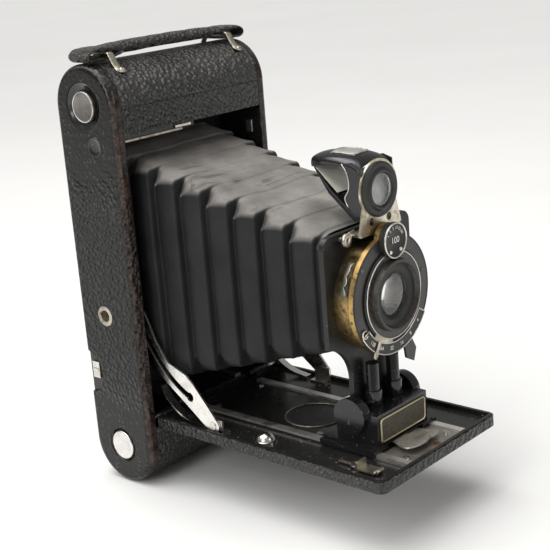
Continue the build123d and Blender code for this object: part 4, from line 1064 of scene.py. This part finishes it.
def make_case_trim():
    """The catch strip under the opening's top edge, the plated spring and the dished wells."""
    box("catch_strip", (-48.2, -9.0), (-20.9, -19.6), (183.4, 184.7), DULL_NICKEL, "case",
        ("striker_plate",), 0.3)
    box("catch_backing", (-48.2, 0.0), (-19.9, -19.4), (184.2, 186.6), ENAMEL, "case",
        (), 0.1)
    box("catch_tongue", (-14.0, -3.0), (-21.0, -20.3), (184.9, 186.3), NICKEL, "case", (), 0.2)
    box("inner_wall_spring", (48.1, 48.75), (-15.4, -10.8), (171.5, 178.5), NICKEL, "case", (), 0.3)
    for name, z, wide, narrow in (("upper", UPPER_PIN_Z, 12.45, 8.1), ("lower", LOWER_PIN_Z, 9.55, 8.0)):
        profile = []
        for step in range(8):
            t = step / 7
            depth = 0.15 + 1.75 * math.sin(t * math.pi / 2) ** 1.4
            profile.append((wide + (narrow - wide) * t, -55.0 + depth))
        profile += [(narrow, -53.04), (wide, -53.04)]
        lathe_x(f"well_dish_{name}", profile, 0, z, WELL_BLACK, "case", (), 56, True)


def make_knobs():
    """The two pull discs and the covered button on the left side."""
    disc = [(0.02, -54.85), (3.0, -54.88), (5.4, -55.0), (6.4, -55.2), (7.0, -55.3), (7.5, -55.25),
            (7.8, -55.0), (7.8, -53.1), (0.02, -53.1)]
    shaft = [(0.02, -53.1), (2.0, -53.1), (2.0, -41.5), (0.02, -41.5)]
    rim = [(-55.2, 7.45 * c, UPPER_PIN_Z + 7.45 * s) for c, s in circle(72)]
    # The upper disc is dark grey nickel as painted shade; the lower disc is bright nickel.
    lathe_x("pull_disc_upper", disc, 0, UPPER_PIN_Z, KNOB_PAINTED_SHADE, "upper_pin", ("spool_pin_upper",))
    tube("pull_rim_upper", rim, 0.3, NICKEL, "upper_pin", closed=True, sides=8, up=(1, 0, 0))
    lathe_x("pull_shaft_upper", shaft, 0, UPPER_PIN_Z, NICKEL, "upper_pin", (), 24)
    lathe_x("pull_disc_lower", disc, 0, LOWER_PIN_Z, BRIGHT_NICKEL, "lower_pin",
            ("spool_pin_lower",))
    lathe_x("pull_shaft_lower", shaft, 0, LOWER_PIN_Z, NICKEL, "lower_pin", (), 24)
    cap = [(0.02, -54.55), (2.4, -54.6), (3.9, -54.8), (4.6, -55.25), (5.0, -55.2), (5.25, -54.9),
           (5.25, -53.1), (0.02, -53.1)]
    lathe_x("button_cap", cap, -5.2, 181.5, WELL_BLACK, "release_button", ("bed_release_button",))
    stem = [(0.02, -53.1), (1.5, -53.1), (1.5, -48.9), (0.02, -48.9)]
    lathe_x("button_stem", stem, -5.2, 181.5, BLACK_STEEL, "release_button", (), 24)


def tongue(name, outline, low, high, middle_x, body, node):
    """A thin plate with a bevelled edge and a slightly lifted front, from an (x, y) outline."""
    loop = smooth_path([(x, y, 0) for x, y in outline + outline[:1]], 3)[:-1]
    rings = ((0.0, low), (0.0, high - 0.25), (0.08, high), (0.5, high + 0.02))
    verts = []
    for inset, z in rings:
        for x, y, _ in loop:
            px = x + (middle_x - x) * inset * 0.35
            py = y + (-150 - y) * inset * 0.35
            verts.append((px, py, z + 0.9 * ease(-150, -160, y)))
    piece(name, verts, capped_faces(len(rings), len(loop)), TAB_NICKEL, body, (node,), False)


def make_bed_details():
    """The round dish in the track and the two finger tabs."""
    dish = [(0.02, 37.25), (7.8, 37.25), (12.0, 37.28), (14.2, 37.4), (15.0, 37.75), (15.5, 37.8),
            (15.9, 37.6), (15.95, 37.42), (15.3, 37.35), (0.02, 37.22)]
    lathe_z("round_dish", dish, 0, -88.9, DISH_BLACK, "case")
    rim = [(15.4 * c, -88.9 + 15.4 * s, 37.8) for c, s in circle(72)]
    tube("dish_rim", rim, 0.36, DULL_NICKEL, "case", closed=True, sides=8, up=(0, 0, 1))
    upper = [(-8.2, -137.0), (-3.8, -137.0), (-1.4, -144.0), (4.3, -148.6), (6.6, -152.6), (7.9, -155.3),
             (5.6, -157.4), (1.6, -159.1), (-3.0, -160.1), (-8.4, -160.0), (-12.6, -158.6),
             (-14.2, -156.2), (-12.9, -151.8), (-10.4, -146.6)]
    tongue("finger_tab_upper", upper, 39.8, 40.45, -3.0, "tab_left", "clamp_tab_left")
    lower = [(3.8, -137.0), (8.2, -137.0), (10.4, -146.6), (12.6, -151.8), (13.0, -155.6),
             (10.6, -157.8), (6.4, -158.6), (2.6, -157.8), (0.6, -154.6), (1.4, -148.0)]
    tongue("finger_tab_lower", lower, 39.1, 39.7, 7.0, "tab_right", "clamp_tab_right")
    pivot = [(0.02, 38.75), (1.2, 38.75), (1.2, 41.5), (0.02, 41.5)]
    for x, body in ((-6.0, "tab_left"), (6.0, "tab_right")):
        lathe_z(f"{body}_pivot", pivot, x, -139.0, NICKEL, body, (), 24)


def make_nameplate():
    """A blank dark plate with a brass border."""
    box("plate_field", (-18, 18), (-145.0, -144.45), (41.9, 54.1), PLATE_DARK, "standard",
        ("nameplate",), 0.15)
    outline = [(-16.4, 42.3), (16.4, 42.3), (17.6, 43.5), (17.6, 52.5),
               (16.4, 53.7), (-16.4, 53.7), (-17.6, 52.5), (-17.6, 43.5)]
    path = []
    for (x0, z0), (x1, z1) in zip(outline, outline[1:] + outline[:1]):
        path += [(x0 + (x1 - x0) * j / 4, -145.05, z0 + (z1 - z0) * j / 4) for j in range(4)]
    tube("plate_border", path, 0.42, BRASS_BRIGHT, "standard", closed=True, sides=8)


for make in (make_bellows, make_knobs, make_bed_details, make_bails, make_shutter, make_release_lever,
             make_scale, make_pointer, make_dial, make_finder, make_handle, make_case_trim, make_nameplate):
    make()

for name in ("foot_casting", "support_pillars", "strut_left", "strut_right", "focus_stop_lever"):
    soften(NODES[name], 0.3)


# ---- floor, lights and camera --------------------------------------------
def backdrop():
    """A pale floor that the soft light falls on."""
    size = 6.0
    mesh = bpy.data.meshes.new("floor")
    corners = [(-size, -size, 0), (size, -size, 0), (size, size, 0), (-size, size, 0)]
    mesh.from_pydata(corners, [], [(0, 1, 2, 3)])
    paper = painted("floor_paper", (0.80, 0.795, 0.78), (0.82, 0.815, 0.80), 0.75, 0.2, 0.00002, 3)
    mesh.materials.append(paper)
    placed("floor", mesh)


def aim(obj, direction):
    obj.rotation_euler = Vector(direction).to_track_quat("-Z", "Y").to_euler()


def soft_light(name, place, size, power):
    """A rectangular light, in metres, that looks at the camera's middle."""
    light = bpy.data.lights.new(name, "AREA")
    light.shape = "RECTANGLE"
    light.size, light.size_y = size
    light.energy = power
    obj = placed(name, light)
    obj.location = place
    aim(obj, Vector((0, 0, 0.12)) - Vector(place))


def photo_camera():
    """The camera at the photograph's viewing angle, measured as a position and three axes."""
    data = bpy.data.cameras.new("camera")
    data.lens = 80.9
    data.sensor_width = 36.0
    data.clip_start = 0.01
    obj = placed("camera", data)
    right = Vector((0.66108503, -0.74654352, -0.07509571))
    up = Vector((0.25665346, 0.13094849, 0.95759151))
    back = Vector((-0.70505006, -0.65232298, 0.27817106))
    turn = Matrix((right, up, back)).transposed().to_4x4()
    obj.matrix_world = Matrix.Translation(at(-441.89, -477.35, 284.12)) @ turn
    bpy.context.scene.camera = obj


def lighting():
    """A pale even world, a wide ceiling light and three soft lights."""
    world = bpy.data.worlds.new("studio")
    bpy.context.scene.world = world
    world.use_nodes = True
    background = world.node_tree.nodes["Background"]
    background.inputs["Color"].default_value = (0.93, 0.925, 0.91, 1)
    background.inputs["Strength"].default_value = 0.30
    sky = bpy.data.lights.new("ceiling", "SUN")
    sky.energy = 2.3
    sky.angle = math.radians(75)
    aim(placed("ceiling", sky), (0.22, -0.28, -1.0))
    soft_light("top", (-0.15, 0.35, 1.15), (0.9, 0.7), 5.5)
    soft_light("key", (-1.05, -0.10, 0.60), (0.35, 0.6), 4)
    soft_light("front", (0.35, -1.3, 0.65), (0.4, 0.4), 2.5)
    bpy.context.scene.view_settings.view_transform = "Standard"


backdrop()
lighting()
photo_camera()
